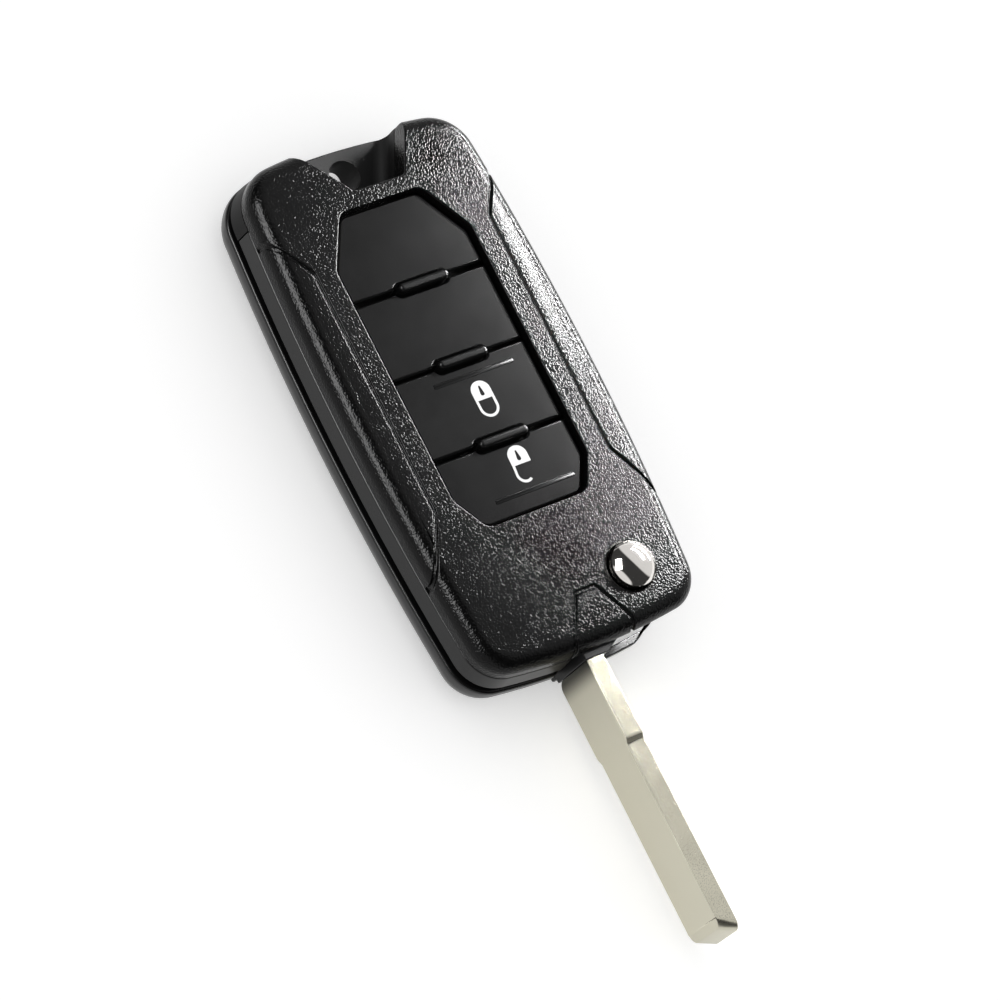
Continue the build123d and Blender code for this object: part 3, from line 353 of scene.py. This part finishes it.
def mottle():
    """A slow change between two values over the surface, with a little fine noise in it."""
    group, given, out = node_group(
        "mottle",
        [
            ("Vector", "NodeSocketVector", None),
            ("Scale", "NodeSocketFloat", 150.0),
            ("Low", "NodeSocketFloat", 0.3),
            ("High", "NodeSocketFloat", 0.5),
        ],
        [("Value", "NodeSocketFloat")],
    )
    cloud = add_noise(group, given["Vector"], given["Scale"], 6.0, 0.6)
    value = add_range(group, cloud, (0.3, 0.7), (given["Low"], given["High"]))
    feed(group, value, out["Value"])
    return group


# Width of the change from pit to surface, as a share of the noise's range
PIT_EDGE = 0.12


def speckle():
    """Small dark pits scattered over a surface, 1 inside a pit and 0 between them."""
    group, given, out = node_group(
        "speckle",
        [
            ("Vector", "NodeSocketVector", None),
            ("Scale", "NodeSocketFloat", 6000.0),
            ("Amount", "NodeSocketFloat", 0.4),
        ],
        [("Mask", "NodeSocketFloat")],
    )
    cloud = add_noise(group, given["Vector"], given["Scale"], 2.0, 0.6)
    edge = add_math(group, "ADD", given["Amount"], PIT_EDGE)
    feed(group, add_range(group, cloud, (given["Amount"], edge), (1.0, 0.0)), out["Mask"])
    return group


GROUP_MAKERS = {"pebble_grain": pebble_grain, "mottle": mottle, "speckle": speckle}
# The groups that are built already, by name
GROUPS = {}


def place_group(tree, name, vector, **values):
    """A shared group in a material, with its own values. The group is built at its first use."""
    if name not in GROUPS:
        GROUPS[name] = GROUP_MAKERS[name]()
    node = tree.nodes.new("ShaderNodeGroup")
    node.node_tree = GROUPS[name]
    feed(tree, vector, node.inputs["Vector"])
    for label, value in values.items():
        feed(tree, value, node.inputs[label])
    return node.outputs[0]


# Materials


# How far the roughness of grained plastic, of satin plastic and of metal (a share) wanders
GRAIN_WANDER = 0.02
SATIN_WANDER = 0.012
METAL_WANDER = 0.2
# Height of the fine unevenness on satin surfaces and of the blade's pits
FINE_DEPTH = 0.002 * MM
PIT_DEPTH = 0.004 * MM
# Roughness of the blade's rolled faces and of its sanded edges, and the clouds added to both
FACE_ROUGHNESS = 0.3
EDGE_ROUGHNESS = 0.17
BLADE_CLOUDS = 0.06
# Share of the colour on the sanded edges at the tip (painted light) and at the root (painted shade), of
# the pits, and of the painted shade at the root's end
TIP_EDGE_PAINTED_LIGHT = 1.1
ROOT_EDGE_PAINTED_SHADE = 0.72
PIT_SHADE = 0.7
ROOT_PAINTED_SHADE = 0.05
# Stretches in Y where painted shade darkens the wide face towards the root, and where the edges' painted
# light at the tip turns to painted shade at the root
ROOT_PAINTED_SHADE_SPAN = (-0.0392, -0.0362)
TIP_TO_ROOT = (-0.065, -0.042)


def new_material(name):
    """A material with one Principled BSDF. Returns its sockets and the object's own coordinates."""
    material = bpy.data.materials.new(name)
    material.use_nodes = True
    tree = material.node_tree
    tree.nodes.clear()
    output = tree.nodes.new("ShaderNodeOutputMaterial")
    shader = tree.nodes.new("ShaderNodeBsdfPrincipled")
    place = tree.nodes.new("ShaderNodeTexCoord")
    feed(tree, shader.outputs["BSDF"], output.inputs["Surface"])
    return material, tree, shader.inputs, place.outputs["Object"]


def add_bump(tree, sockets, height, distance):
    """Lifts the surface's shading by a height from 0 to 1 times a distance."""
    bump = tree.nodes.new("ShaderNodeBump")
    bump.inputs["Distance"].default_value = distance
    feed(tree, height, bump.inputs["Height"])
    feed(tree, bump.outputs["Normal"], sockets["Normal"])


def add_mix(tree, factor, low, high):
    """A colour between two, by a factor that changes over the surface."""
    mix = tree.nodes.new("ShaderNodeMix")
    mix.data_type = "RGBA"
    feed(tree, low, mix.inputs["A"])
    feed(tree, high, mix.inputs["B"])
    feed(tree, factor, mix.inputs["Factor"])
    return mix.outputs["Result"]


def shade_of(colour, share):
    """A colour made darker or lighter by a share."""
    return tuple(part * share for part in colour[:3]) + (1.0,)


def grained_plastic(name, colour, grain_size, grain_depth, roughness, gloss):
    """Black moulded plastic with a pebbled grain, its colour paler on the tops of the pebbles and darker
    in the valleys.
    """
    material, tree, sockets, place = new_material(name)
    grain = place_group(tree, "pebble_grain", place, Scale=1.0 / grain_size)
    low, high = roughness - GRAIN_WANDER, roughness + GRAIN_WANDER
    dull = place_group(tree, "mottle", place, Scale=300.0, Low=low, High=high)
    valleys, tops = shade_of(colour, 0.75), shade_of(colour, 1.25)
    feed(tree, add_mix(tree, grain, valleys, tops), sockets["Base Color"])
    feed(tree, dull, sockets["Roughness"])
    sockets["Specular IOR Level"].default_value = gloss
    add_bump(tree, sockets, grain, grain_depth)
    return material


def satin_plastic(name, colour, roughness, gloss=0.5):
    """Smooth satin plastic, rubber or ink with a faint cloudiness."""
    material, tree, sockets, place = new_material(name)
    low, high = roughness - SATIN_WANDER, roughness + SATIN_WANDER
    cloud = place_group(tree, "mottle", place, Scale=220.0, Low=low, High=high)
    fine = place_group(tree, "mottle", place, Scale=5200.0, Low=0.0, High=1.0)
    dark, pale = shade_of(colour, 0.88), shade_of(colour, 1.12)
    feed(tree, add_mix(tree, fine, dark, pale), sockets["Base Color"])
    feed(tree, cloud, sockets["Roughness"])
    sockets["Specular IOR Level"].default_value = gloss
    add_bump(tree, sockets, fine, FINE_DEPTH)
    return material


def plain_metal(name, colour, roughness):
    """Turned, plated or rolled metal with faint clouds in its colour and gloss."""
    material, tree, sockets, place = new_material(name)
    low, high = roughness * (1.0 - METAL_WANDER), roughness * (1.0 + METAL_WANDER)
    cloud = place_group(tree, "mottle", place, Scale=900.0, Low=low, High=high)
    tint = place_group(tree, "mottle", place, Scale=630.0, Low=0.0, High=1.0)
    feed(tree, add_mix(tree, tint, shade_of(colour, 0.94), colour), sockets["Base Color"])
    feed(tree, cloud, sockets["Roughness"])
    sockets["Metallic"].default_value = 1.0
    return material


def blade_metal(name, colour):
    """Nickel silver: rolled faces with painted shade at the root, and sanded edges with fine dark pits,
    painted lighter at the tip and darker at the root.
    """
    material, tree, sockets, place = new_material(name)
    surface = tree.nodes.new("ShaderNodeNewGeometry")
    facing = tree.nodes.new("ShaderNodeSeparateXYZ")
    feed(tree, surface.outputs["Normal"], facing.inputs["Vector"])
    upright = add_math(tree, "ABSOLUTE", facing.outputs["Z"])
    edge = add_range(tree, upright, (0.8, 0.95), (0.0, 1.0))
    along = tree.nodes.new("ShaderNodeSeparateXYZ")
    feed(tree, place, along.inputs["Vector"])
    pits = place_group(tree, "speckle", place, Scale=6500.0, Amount=0.35)
    cloud = place_group(tree, "mottle", place, Scale=400.0, Low=0.0, High=BLADE_CLOUDS)
    polish = add_range(tree, edge, (0.0, 1.0), (FACE_ROUGHNESS, EDGE_ROUGHNESS))
    feed(tree, add_math(tree, "ADD", polish, cloud), sockets["Roughness"])
    # Painted light on the sanded edges at the tip and painted shade on them at the root, blended along Y
    tip_with_painted_light = add_mix(tree, edge, colour, shade_of(colour, TIP_EDGE_PAINTED_LIGHT))
    root_with_painted_shade = add_mix(tree, edge, colour, shade_of(colour, ROOT_EDGE_PAINTED_SHADE))
    run = add_range(tree, along.outputs["Y"], TIP_TO_ROOT, (0.0, 1.0))
    painted_edge_light_and_shade = add_mix(tree, run, tip_with_painted_light, root_with_painted_shade)
    pitted = add_mix(tree, add_math(tree, "MULTIPLY", pits, edge), painted_edge_light_and_shade, shade_of(colour, PIT_SHADE))
    # Painted shade: the wide face darkens towards the root, where the hub's shade falls on it
    root = add_range(tree, along.outputs["Y"], ROOT_PAINTED_SHADE_SPAN, (0.0, 0.95), smooth=True)
    shaded = add_math(tree, "MULTIPLY", root, add_math(tree, "SUBTRACT", 1.0, edge))
    feed(tree, add_mix(tree, shaded, pitted, shade_of(colour, ROOT_PAINTED_SHADE)), sockets["Base Color"])
    sockets["Metallic"].default_value = 1.0
    add_bump(tree, sockets, pits, PIT_DEPTH)
    return material


# Pieces


def dress(node, material):
    """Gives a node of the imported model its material."""
    piece = frame["nodes"][node]
    piece.data.materials.clear()
    piece.data.materials.append(material)


def finish_piece(name, shape, material, body, smooth_angle=50.0):
    """Turns a bmesh into a piece that rides on a body, shaded smooth up to an angle."""
    mesh = bpy.data.meshes.new(name)
    shape.to_mesh(mesh)
    shape.free()
    piece = bpy.data.objects.new(name, mesh)
    bpy.context.scene.collection.objects.link(piece)
    mesh.materials.append(material)
    mesh.shade_smooth()
    mesh.set_sharp_from_angle(angle=math.radians(smooth_angle))
    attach(piece, body)
    return piece


def carry_shading(piece, source, carried):
    """Gives the listed vertices of a piece the shading of the surface that they lie on."""
    group = piece.vertex_groups.new(name="carried")
    group.add(carried, 1.0, "REPLACE")
    transfer = piece.modifiers.new("shading", "DATA_TRANSFER")
    transfer.object = source
    transfer.use_loop_data = True
    transfer.data_types_loops = {"CUSTOM_NORMAL"}
    transfer.loop_mapping = "POLYINTERP_NEAREST"
    transfer.vertex_group = group.name
    bpy.context.view_layer.update()
    graph = bpy.context.evaluated_depsgraph_get()
    shaded = bpy.data.meshes.new_from_object(piece.evaluated_get(graph), depsgraph=graph)
    rough = piece.data
    piece.modifiers.clear()
    piece.vertex_groups.clear()
    piece.data = shaded
    bpy.data.meshes.remove(rough)
    shaded.name = piece.name


def round_tip(shape, radius):
    """Rounds the two corners of the blade's tip. Returns the Y below which the blade is reshaped."""
    tip = min(vert.co.y for vert in shape.verts)
    start = tip + 2.0 * radius
    near = radius / 10
    parts = list(shape.verts) + list(shape.edges) + list(shape.faces)
    bmesh.ops.bisect_plane(shape, geom=parts, plane_co=(0.0, start, 0.0), plane_no=(0.0, 1.0, 0.0))
    corners = []
    for edge in shape.edges:
        first, last = edge.verts
        level = abs(first.co.z - last.co.z) < near
        if level and max(first.co.y, last.co.y) < tip + radius:
            corners.append(edge)
    bmesh.ops.bevel(
        shape,
        geom=corners,
        offset=radius,
        offset_type="OFFSET",
        segments=8,
        profile=0.5,
        affect="EDGES",
        clamp_overlap=False,
        material=-1,
    )
    return start - near


def softened(node, radius, material, body, tip_round=0.0):
    """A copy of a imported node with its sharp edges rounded, which stands for the node."""
    source = frame["nodes"][node]
    shape = bmesh.new()
    shape.from_mesh(source.data)
    bmesh.ops.remove_doubles(shape, verts=shape.verts, dist=WELD)
    bmesh.ops.dissolve_limit(
        shape,
        angle_limit=math.radians(FLAT_ANGLE),
        verts=shape.verts,
        edges=shape.edges,
        use_dissolve_boundaries=False,
    )
    reshaped = round_tip(shape, tip_round) if tip_round else -math.inf
    limit = math.radians(SHARP_ANGLE)
    edges = [edge for edge in shape.edges if edge.is_manifold and edge.calc_face_angle() > limit]
    rounded = bmesh.ops.bevel(
        shape,
        geom=edges,
        offset=radius,
        offset_type="OFFSET",
        segments=2,
        profile=0.5,
        affect="EDGES",
        clamp_overlap=False,
        material=-1,
    )
    fresh = set(rounded["faces"])
    shape.verts.index_update()
    kept = [vert for vert in shape.verts if not fresh.issuperset(vert.link_faces)]
    carried = [vert.index for vert in kept if vert.co.y > reshaped]
    piece = finish_piece(f"{node}_soft", shape, material, body)
    carry_shading(piece, source, carried)
    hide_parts(node)


def squeezed_coil(material):
    """A copy of the coil under the release button, which stands for the coil."""
    shape = bmesh.new()
    shape.from_mesh(frame["nodes"]["flip_spring"].data)
    coil = finish_piece("flip_spring_soft", shape, material, "blade")
    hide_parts("flip_spring")
    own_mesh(coil)


class KEY_OT_case(bpy.types.Operator):
    """Finish the case: grained front, smooth band, ring end and back cover"""

    bl_idname = "key.case"
    bl_label = "Finish the case"

    def execute(self, context):
        look = context.scene.key_case
        front = grained_plastic(
            "grained_front",
            look.colour,
            look.grain_size,
            look.grain_depth,
            roughness=0.17,
            gloss=0.15,
        )
        band = satin_plastic("satin_band", look.colour, roughness=0.28, gloss=0.35)
        ring_end = satin_plastic("ring_end_plastic", look.colour, roughness=0.5, gloss=0.15)
        softened("front_shell", look.edge_round, front, "case")
        softened("rear_shell", look.edge_round, band, "case")
        softened("back_cover", look.edge_round, band, "case")
        dress("keyring_insert", ring_end)
        return {"FINISHED"}


class KEY_OT_pad(bpy.types.Operator):
    """Finish the pad: its four fields, the bars between them and the parts behind"""

    bl_idname = "key.pad"
    bl_label = "Finish the pad"

    def execute(self, context):
        look = context.scene.key_pad
        field = satin_plastic("satin_field", look.colour, roughness=0.22, gloss=0.115)
        bar = satin_plastic("polished_bar", look.bar_colour, roughness=0.22, gloss=0.2)
        rubber = satin_plastic("membrane_rubber", look.membrane_colour, roughness=0.7)
        for node in FIELD_NODES:
            body = node if node in frame["bodies"] else "case"
            softened(node, look.edge_round, field, body)
        dress("key_frame", bar)
        dress("key_membrane", rubber)
        return {"FINISHED"}


class KEY_OT_blade(bpy.types.Operator):
    """Finish the blade, the hub that carries it and the parts inside the hub"""

    bl_idname = "key.blade"
    bl_label = "Finish the blade"

    def execute(self, context):
        look = context.scene.key_blade
        metal = blade_metal("nickel_silver", look.colour)
        softened("blade", look.edge_round, metal, "blade", tip_round=look.tip_round)
        hub = satin_plastic("hub_plastic", look.hub_colour, roughness=0.3, gloss=0.25)
        softened("blade_hub", look.edge_round, hub, "blade")
        steel = plain_metal("zinc_steel", look.steel_colour, roughness=0.3)
        for node in SMALL_STEEL:
            dress(node, steel)
        squeezed_coil(steel)
        return {"FINISHED"}


class KEY_OT_button(bpy.types.Operator):
    """Finish the plated release button"""

    bl_idname = "key.button"
    bl_label = "Finish the release button"

    def execute(self, context):
        look = context.scene.key_button
        dress("release_button", plain_metal("bright_plating", look.colour, roughness=0.07))
        return {"FINISHED"}


# Printed padlocks and creases. A padlock is drawn on its field with the shackle towards the blade


# Width of the shackle's line, and the width and length of a padlock's body
STROKE = 0.34 * MM
PADLOCK_WIDTH = 2.74 * MM
PADLOCK_BODY = 2.42 * MM
# The keyhole's corners, from the middle of the body's far end
KEYHOLE = (
    (-0.12 * MM, -0.6 * MM),
    (0.12 * MM, -0.6 * MM),
    (0.34 * MM, -1.95 * MM),
    (-0.34 * MM, -1.95 * MM),
)
# Radii of the body's corners and of the keyhole's, in the order that they are drawn
BODY_RADII = (0.05 * MM, 0.05 * MM, PADLOCK_WIDTH * 0.48, PADLOCK_WIDTH * 0.48)
KEYHOLE_RADII = (0.1 * MM, 0.1 * MM, 0.3 * MM, 0.3 * MM)
# For each padlock: the left far corner of its body, the run of its shackle's leg, the radius and the
# degrees of its bend, and the length of the straight end
LOCK = {
    "corner": (-0.42 * MM, 0.45 * MM),
    "leg": (0.0, -1.02 * MM),
    "bend": PADLOCK_WIDTH / 2,
    "degrees": 180.0,
    "end": 1.02 * MM,
}
UNLOCK = {
    "corner": (0.02 * MM, -8.6 * MM),
    "leg": (-0.12 * MM, -1.2 * MM),
    "bend": 1.1 * MM,
    "degrees": 125.0,
    "end": 0.0,
}
# A crease's width, its height over the field, its depth in it and the rounding of its rim
CREASE_WIDTH = 0.7 * MM
CREASE_RISE = 0.05 * MM
CREASE_DEPTH = 0.2 * MM
CREASE_ROUND = 0.16 * MM
# Left end, right end and Y of each crease
LOCK_CREASE = (-4.9 * MM, 7.2 * MM, 1.45 * MM)
UNLOCK_CREASE = (-4.5 * MM, 7.6 * MM, -14.4 * MM)


def rounded_outline(shape, corners, radii):
    """The edges of a closed outline in one plane, with each corner rounded by its own radius."""
    verts = [shape.verts.new(corner) for corner in corners]
    shape.faces.new(verts)
    for vert, radius in zip(verts, radii):
        bmesh.ops.bevel(
            shape,
            geom=[vert],
            offset=radius,
            segments=10,
            profile=0.5,
            affect="VERTICES",
            material=-1,
        )
    face = list(shape.faces)[-1]
    edges = list(face.edges)
    bmesh.ops.delete(shape, geom=[face], context="FACES_ONLY")
    return edges


def sweep(shape, start, centre, degrees=0.0, slide=(0.0, 0.0, 0.0), steps=1):
    """Carries the last edge of a stroke along a line or round a centre, and returns its new last edge."""
    swept = bmesh.ops.spin(
        shape,
        geom=start,
        cent=centre,
        axis=(0.0, 0.0, 1.0),
        dvec=slide,
        angle=math.radians(degrees),
        steps=steps,
    )
    return swept["geom_last"]


def padlock(name, plan, height, thickness, material, body):
    """A padlock print: a body with a keyhole, and a shackle whose leg runs down and then bends."""
    shape = bmesh.new()
    left, top = plan["corner"]
    right = left + PADLOCK_WIDTH
    low = top - PADLOCK_BODY
    corners = [(left, low, height), (right, low, height), (right, top, height), (left, top, height)]
    outline = rounded_outline(shape, corners, BODY_RADII)
    middle = (left + right) / 2
    corners = [(middle + x, top + y, height) for x, y in KEYHOLE]
    hole = rounded_outline(shape, corners, KEYHOLE_RADII)
    bmesh.ops.triangle_fill(shape, edges=outline + hole, use_beauty=True)
    verts = [shape.verts.new((left, low, height)), shape.verts.new((left + STROKE, low, height))]
    start = verts + [shape.edges.new(verts)]
    still = (0.0, 0.0, 0.0)
    start = sweep(shape, start, still, slide=plan["leg"] + (0.0,))
    centre = (left + plan["bend"], low + plan["leg"][1], height)
    start = sweep(shape, start, centre, degrees=plan["degrees"], steps=20)
    if plan["end"]:
        sweep(shape, start, still, slide=(0.0, plan["end"], 0.0))
    pushed = bmesh.ops.extrude_face_region(shape, geom=list(shape.faces), use_keep_orig=True)
    raised = [part for part in pushed["geom"] if isinstance(part, bmesh.types.BMVert)]
    bmesh.ops.translate(shape, verts=raised, vec=(0.0, 0.0, thickness))
    bmesh.ops.recalc_face_normals(shape, faces=shape.faces)
    finish_piece(name, shape, material, body, smooth_angle=30.0)


def crease(name, span, height, material, body):
    """A long shallow rib that stands a little out of a field."""
    left, right, middle = span
    shape = bmesh.new()
    bmesh.ops.create_cube(shape, size=1.0)
    size = (right - left, CREASE_WIDTH, CREASE_RISE + CREASE_DEPTH)
    bmesh.ops.scale(shape, verts=shape.verts, vec=size)
    upright = [
        edge for edge in shape.edges if abs(edge.verts[0].co.z - edge.verts[1].co.z) > CREASE_RISE
    ]
    bmesh.ops.bevel(
        shape,
        geom=upright,
        offset=CREASE_WIDTH * 0.49,
        segments=6,
        profile=0.5,
        affect="EDGES",
        material=-1,
    )
    top = max(vert.co.z for vert in shape.verts)
    level = top - CREASE_RISE / 10
    rim = [edge for edge in shape.edges if min(vert.co.z for vert in edge.verts) > level]
    bmesh.ops.bevel(
        shape,
        geom=rim,
        offset=CREASE_ROUND,
        segments=4,
        profile=0.5,
        affect="EDGES",
        material=-1,
    )
    place = ((left + right) / 2, middle, height + CREASE_RISE - top)
    bmesh.ops.translate(shape, verts=shape.verts, vec=place)
    finish_piece(name, shape, material, body, smooth_angle=60.0)


class KEY_OT_prints(bpy.types.Operator):
    """Print the padlocks on the two working keys, and raise the creases beside them"""

    bl_idname = "key.prints"
    bl_label = "Print the padlocks"

    def execute(self, context):
        look = context.scene.key_pad
        ink = satin_plastic("white_print", look.print_colour, roughness=0.5)
        field = bpy.data.materials["satin_field"]
        thickness = look.print_thickness
        padlock("lock_print", LOCK, LOCK_TOP, thickness, ink, "lock_button")
        padlock("unlock_print", UNLOCK, UNLOCK_TOP, thickness, ink, "unlock_button")
        crease("lock_crease", LOCK_CREASE, LOCK_TOP, field, "lock_button")
        crease("unlock_crease", UNLOCK_CREASE, UNLOCK_TOP, field, "unlock_button")
        return {"FINISHED"}


# Stage


# For each lamp: its place, the point that it faces and its size
LAMPS = {
    "key": ((0.063, 0.014, 0.061), (0.0, 0.014, 0.0126), (0.08, 0.008)),
    "side": ((-0.19, 0.085, 0.17), (-0.018, 0.0, 0.01), (0.2, 0.11)),
    "spark": ((0.13, 0.03, 0.032), (0.0, 0.0, 0.012), (0.12, 0.01)),
}
# The direction across the room, from its far wall to the near one, that its light changes along
ACROSS_ROOM = (0.85, 0.35, 0.4)
# Light of the room on matt surfaces, and in gloss its walls, its ceiling and what the end of the near
# wall adds
ROOM_LIGHT = 0.8
WALL_LIGHT = 0.76
CEILING_LIGHT = 0.04
END_LIGHT = 0.08
# Light that the floor adds where it is seen, so that it shows white
FLOOR_GLOW = 0.37
FLOOR_SIZE = 3.0
# The camera's place, the directions of its right side and its top, and its lens in mm
CAMERA_PLACE = (-0.3160, -0.1225, 0.5156)
CAMERA_RIGHT = (0.8002, -0.4468, 0.4000)
CAMERA_TOP = (0.3018, 0.8764, 0.3753)
CAMERA_LENS = 181.7
CAMERA_SENSOR = 36.0


def aim(source, target):
    """Turns a lamp so that it faces a point."""
    source.rotation_euler = (Vector(target) - source.location).to_track_quat("-Z", "Y").to_euler()


def area_light(name, location, target, size, power):
    """A rectangular lamp that is seen only in the gloss of what it lights."""
    lamp = bpy.data.lights.new(name, "AREA")
    lamp.shape = "RECTANGLE"
    lamp.size, lamp.size_y = size
    lamp.energy = power
    holder = bpy.data.objects.new(name, lamp)
    holder.location = location
    holder.visible_diffuse = False
    bpy.context.scene.collection.objects.link(holder)
    aim(holder, target)


def pale_rays(tree):
    """Two masks: 1 for the rays of the camera or through glass, and 1 for the rays off gloss."""
    path = tree.nodes.new("ShaderNodeLightPath")
    seen = add_math(tree, "MAXIMUM", path.outputs["Is Camera Ray"], path.outputs["Is Transmission Ray"])
    return seen, path.outputs["Is Glossy Ray"]


def studio_world():
    """A white room with a dark ceiling: white to the camera, and an even light on the object."""
    world = bpy.data.worlds.new("studio")
    world.use_nodes = True
    tree = world.node_tree
    tree.nodes.clear()
    output = tree.nodes.new("ShaderNodeOutputWorld")
    back = tree.nodes.new("ShaderNodeBackground")
    back.inputs["Color"].default_value = (1.0, 1.0, 1.0, 1.0)
    place = tree.nodes.new("ShaderNodeTexCoord")
    slant = tree.nodes.new("ShaderNodeVectorMath")
    slant.operation = "DOT_PRODUCT"
    feed(tree, place.outputs["Generated"], slant.inputs[0])
    slant.inputs[1].default_value = ACROSS_ROOM
    across = slant.outputs["Value"]
    near = add_range(tree, across, (0.42, 0.52), (CEILING_LIGHT, WALL_LIGHT), smooth=True)
    nearer = add_range(tree, across, (0.86, 0.96), (0.0, END_LIGHT), smooth=True)
    far = add_range(tree, across, (-0.5, -0.4), (WALL_LIGHT, 0.0), smooth=True)
    room = add_math(tree, "ADD", add_math(tree, "ADD", near, nearer), far)
    seen, glossy = pale_rays(tree)
    lit = add_range(tree, glossy, (0.0, 1.0), (ROOM_LIGHT, room))
    feed(tree, add_range(tree, seen, (0.0, 1.0), (lit, 1.0)), back.inputs["Strength"])
    feed(tree, back.outputs["Background"], output.inputs["Surface"])
    bpy.context.scene.world = world


def floor_material(colour):
    """Pale floor that shows white and keeps the soft shadow."""
    material, tree, sockets, place = new_material("pale_floor")
    feed(tree, place_group(tree, "mottle", place, Scale=3.0, Low=0.75, High=0.85), sockets["Roughness"])
    sockets["Base Color"].default_value = colour
    sockets["Specular IOR Level"].default_value = 0.0
    sockets["Emission Color"].default_value = (1.0, 1.0, 1.0, 1.0)
    seen, glossy = pale_rays(tree)
    shown = add_math(tree, "MAXIMUM", seen, glossy)
    feed(tree, add_math(tree, "MULTIPLY", shown, FLOOR_GLOW), sockets["Emission Strength"])
    return material


class KEY_OT_stage(bpy.types.Operator):
    """Set the floor, the lights, the world and the camera"""

    bl_idname = "key.stage"
    bl_label = "Set the stage"

    def execute(self, context):
        look = context.scene.key_stage
        shape = bmesh.new()
        bmesh.ops.create_grid(shape, x_segments=1, y_segments=1, size=FLOOR_SIZE)
        mesh = bpy.data.meshes.new("floor")
        shape.to_mesh(mesh)
        shape.free()
        floor = bpy.data.objects.new("floor", mesh)
        mesh.materials.append(floor_material(look.floor_colour))
        context.scene.collection.objects.link(floor)
        studio_world()
        for name, (location, target, size) in LAMPS.items():
            area_light(name, location, target, size, getattr(look, f"{name}_power"))
        camera = bpy.data.objects.new("camera", bpy.data.cameras.new("camera"))
        camera.data.lens = CAMERA_LENS
        camera.data.sensor_width = CAMERA_SENSOR
        camera.data.clip_start = 0.01
        context.scene.collection.objects.link(camera)
        right = Vector(CAMERA_RIGHT).normalized()
        top = Vector(CAMERA_TOP).normalized()
        turn = Matrix((right, top, right.cross(top))).transposed()
        camera.matrix_world = Matrix.Translation(CAMERA_PLACE) @ turn.to_4x4()
        context.scene.camera = camera
        context.scene.view_settings.view_transform = "Standard"
        return {"FINISHED"}


class KEY_PT_panel(bpy.types.Panel):
    """The add-on's steps and settings"""

    bl_label = "Key case"
    bl_idname = "KEY_PT_panel"
    bl_space_type = "VIEW_3D"
    bl_region_type = "UI"
    bl_category = "Key case"

    def draw(self, context):
        for operator in OPERATORS:
            self.layout.operator(operator.bl_idname)
        for group in SETTINGS:
            box = self.layout.box()
            for name in group.__annotations__:
                box.prop(getattr(context.scene, SETTINGS[group]), name)


SETTINGS = {
    CaseSettings: "key_case",
    PadSettings: "key_pad",
    BladeSettings: "key_blade",
    ButtonSettings: "key_button",
    StageSettings: "key_stage",
}
OPERATORS = (KEY_OT_case, KEY_OT_pad, KEY_OT_prints, KEY_OT_blade, KEY_OT_button, KEY_OT_stage)


def register():
    for group, name in SETTINGS.items():
        bpy.utils.register_class(group)
        setattr(bpy.types.Scene, name, bpy.props.PointerProperty(type=group))
    for operator in OPERATORS:
        bpy.utils.register_class(operator)
    bpy.utils.register_class(KEY_PT_panel)


def unregister():
    bpy.utils.unregister_class(KEY_PT_panel)
    for operator in reversed(OPERATORS):
        bpy.utils.unregister_class(operator)
    for group, name in SETTINGS.items():
        delattr(bpy.types.Scene, name)
        bpy.utils.unregister_class(group)


def main():
    register()
    bpy.ops.key.case()
    bpy.ops.key.pad()
    bpy.ops.key.prints()
    bpy.ops.key.blade()
    bpy.ops.key.button()
    bpy.ops.key.stage()


if __name__ == "__main__":
    main()
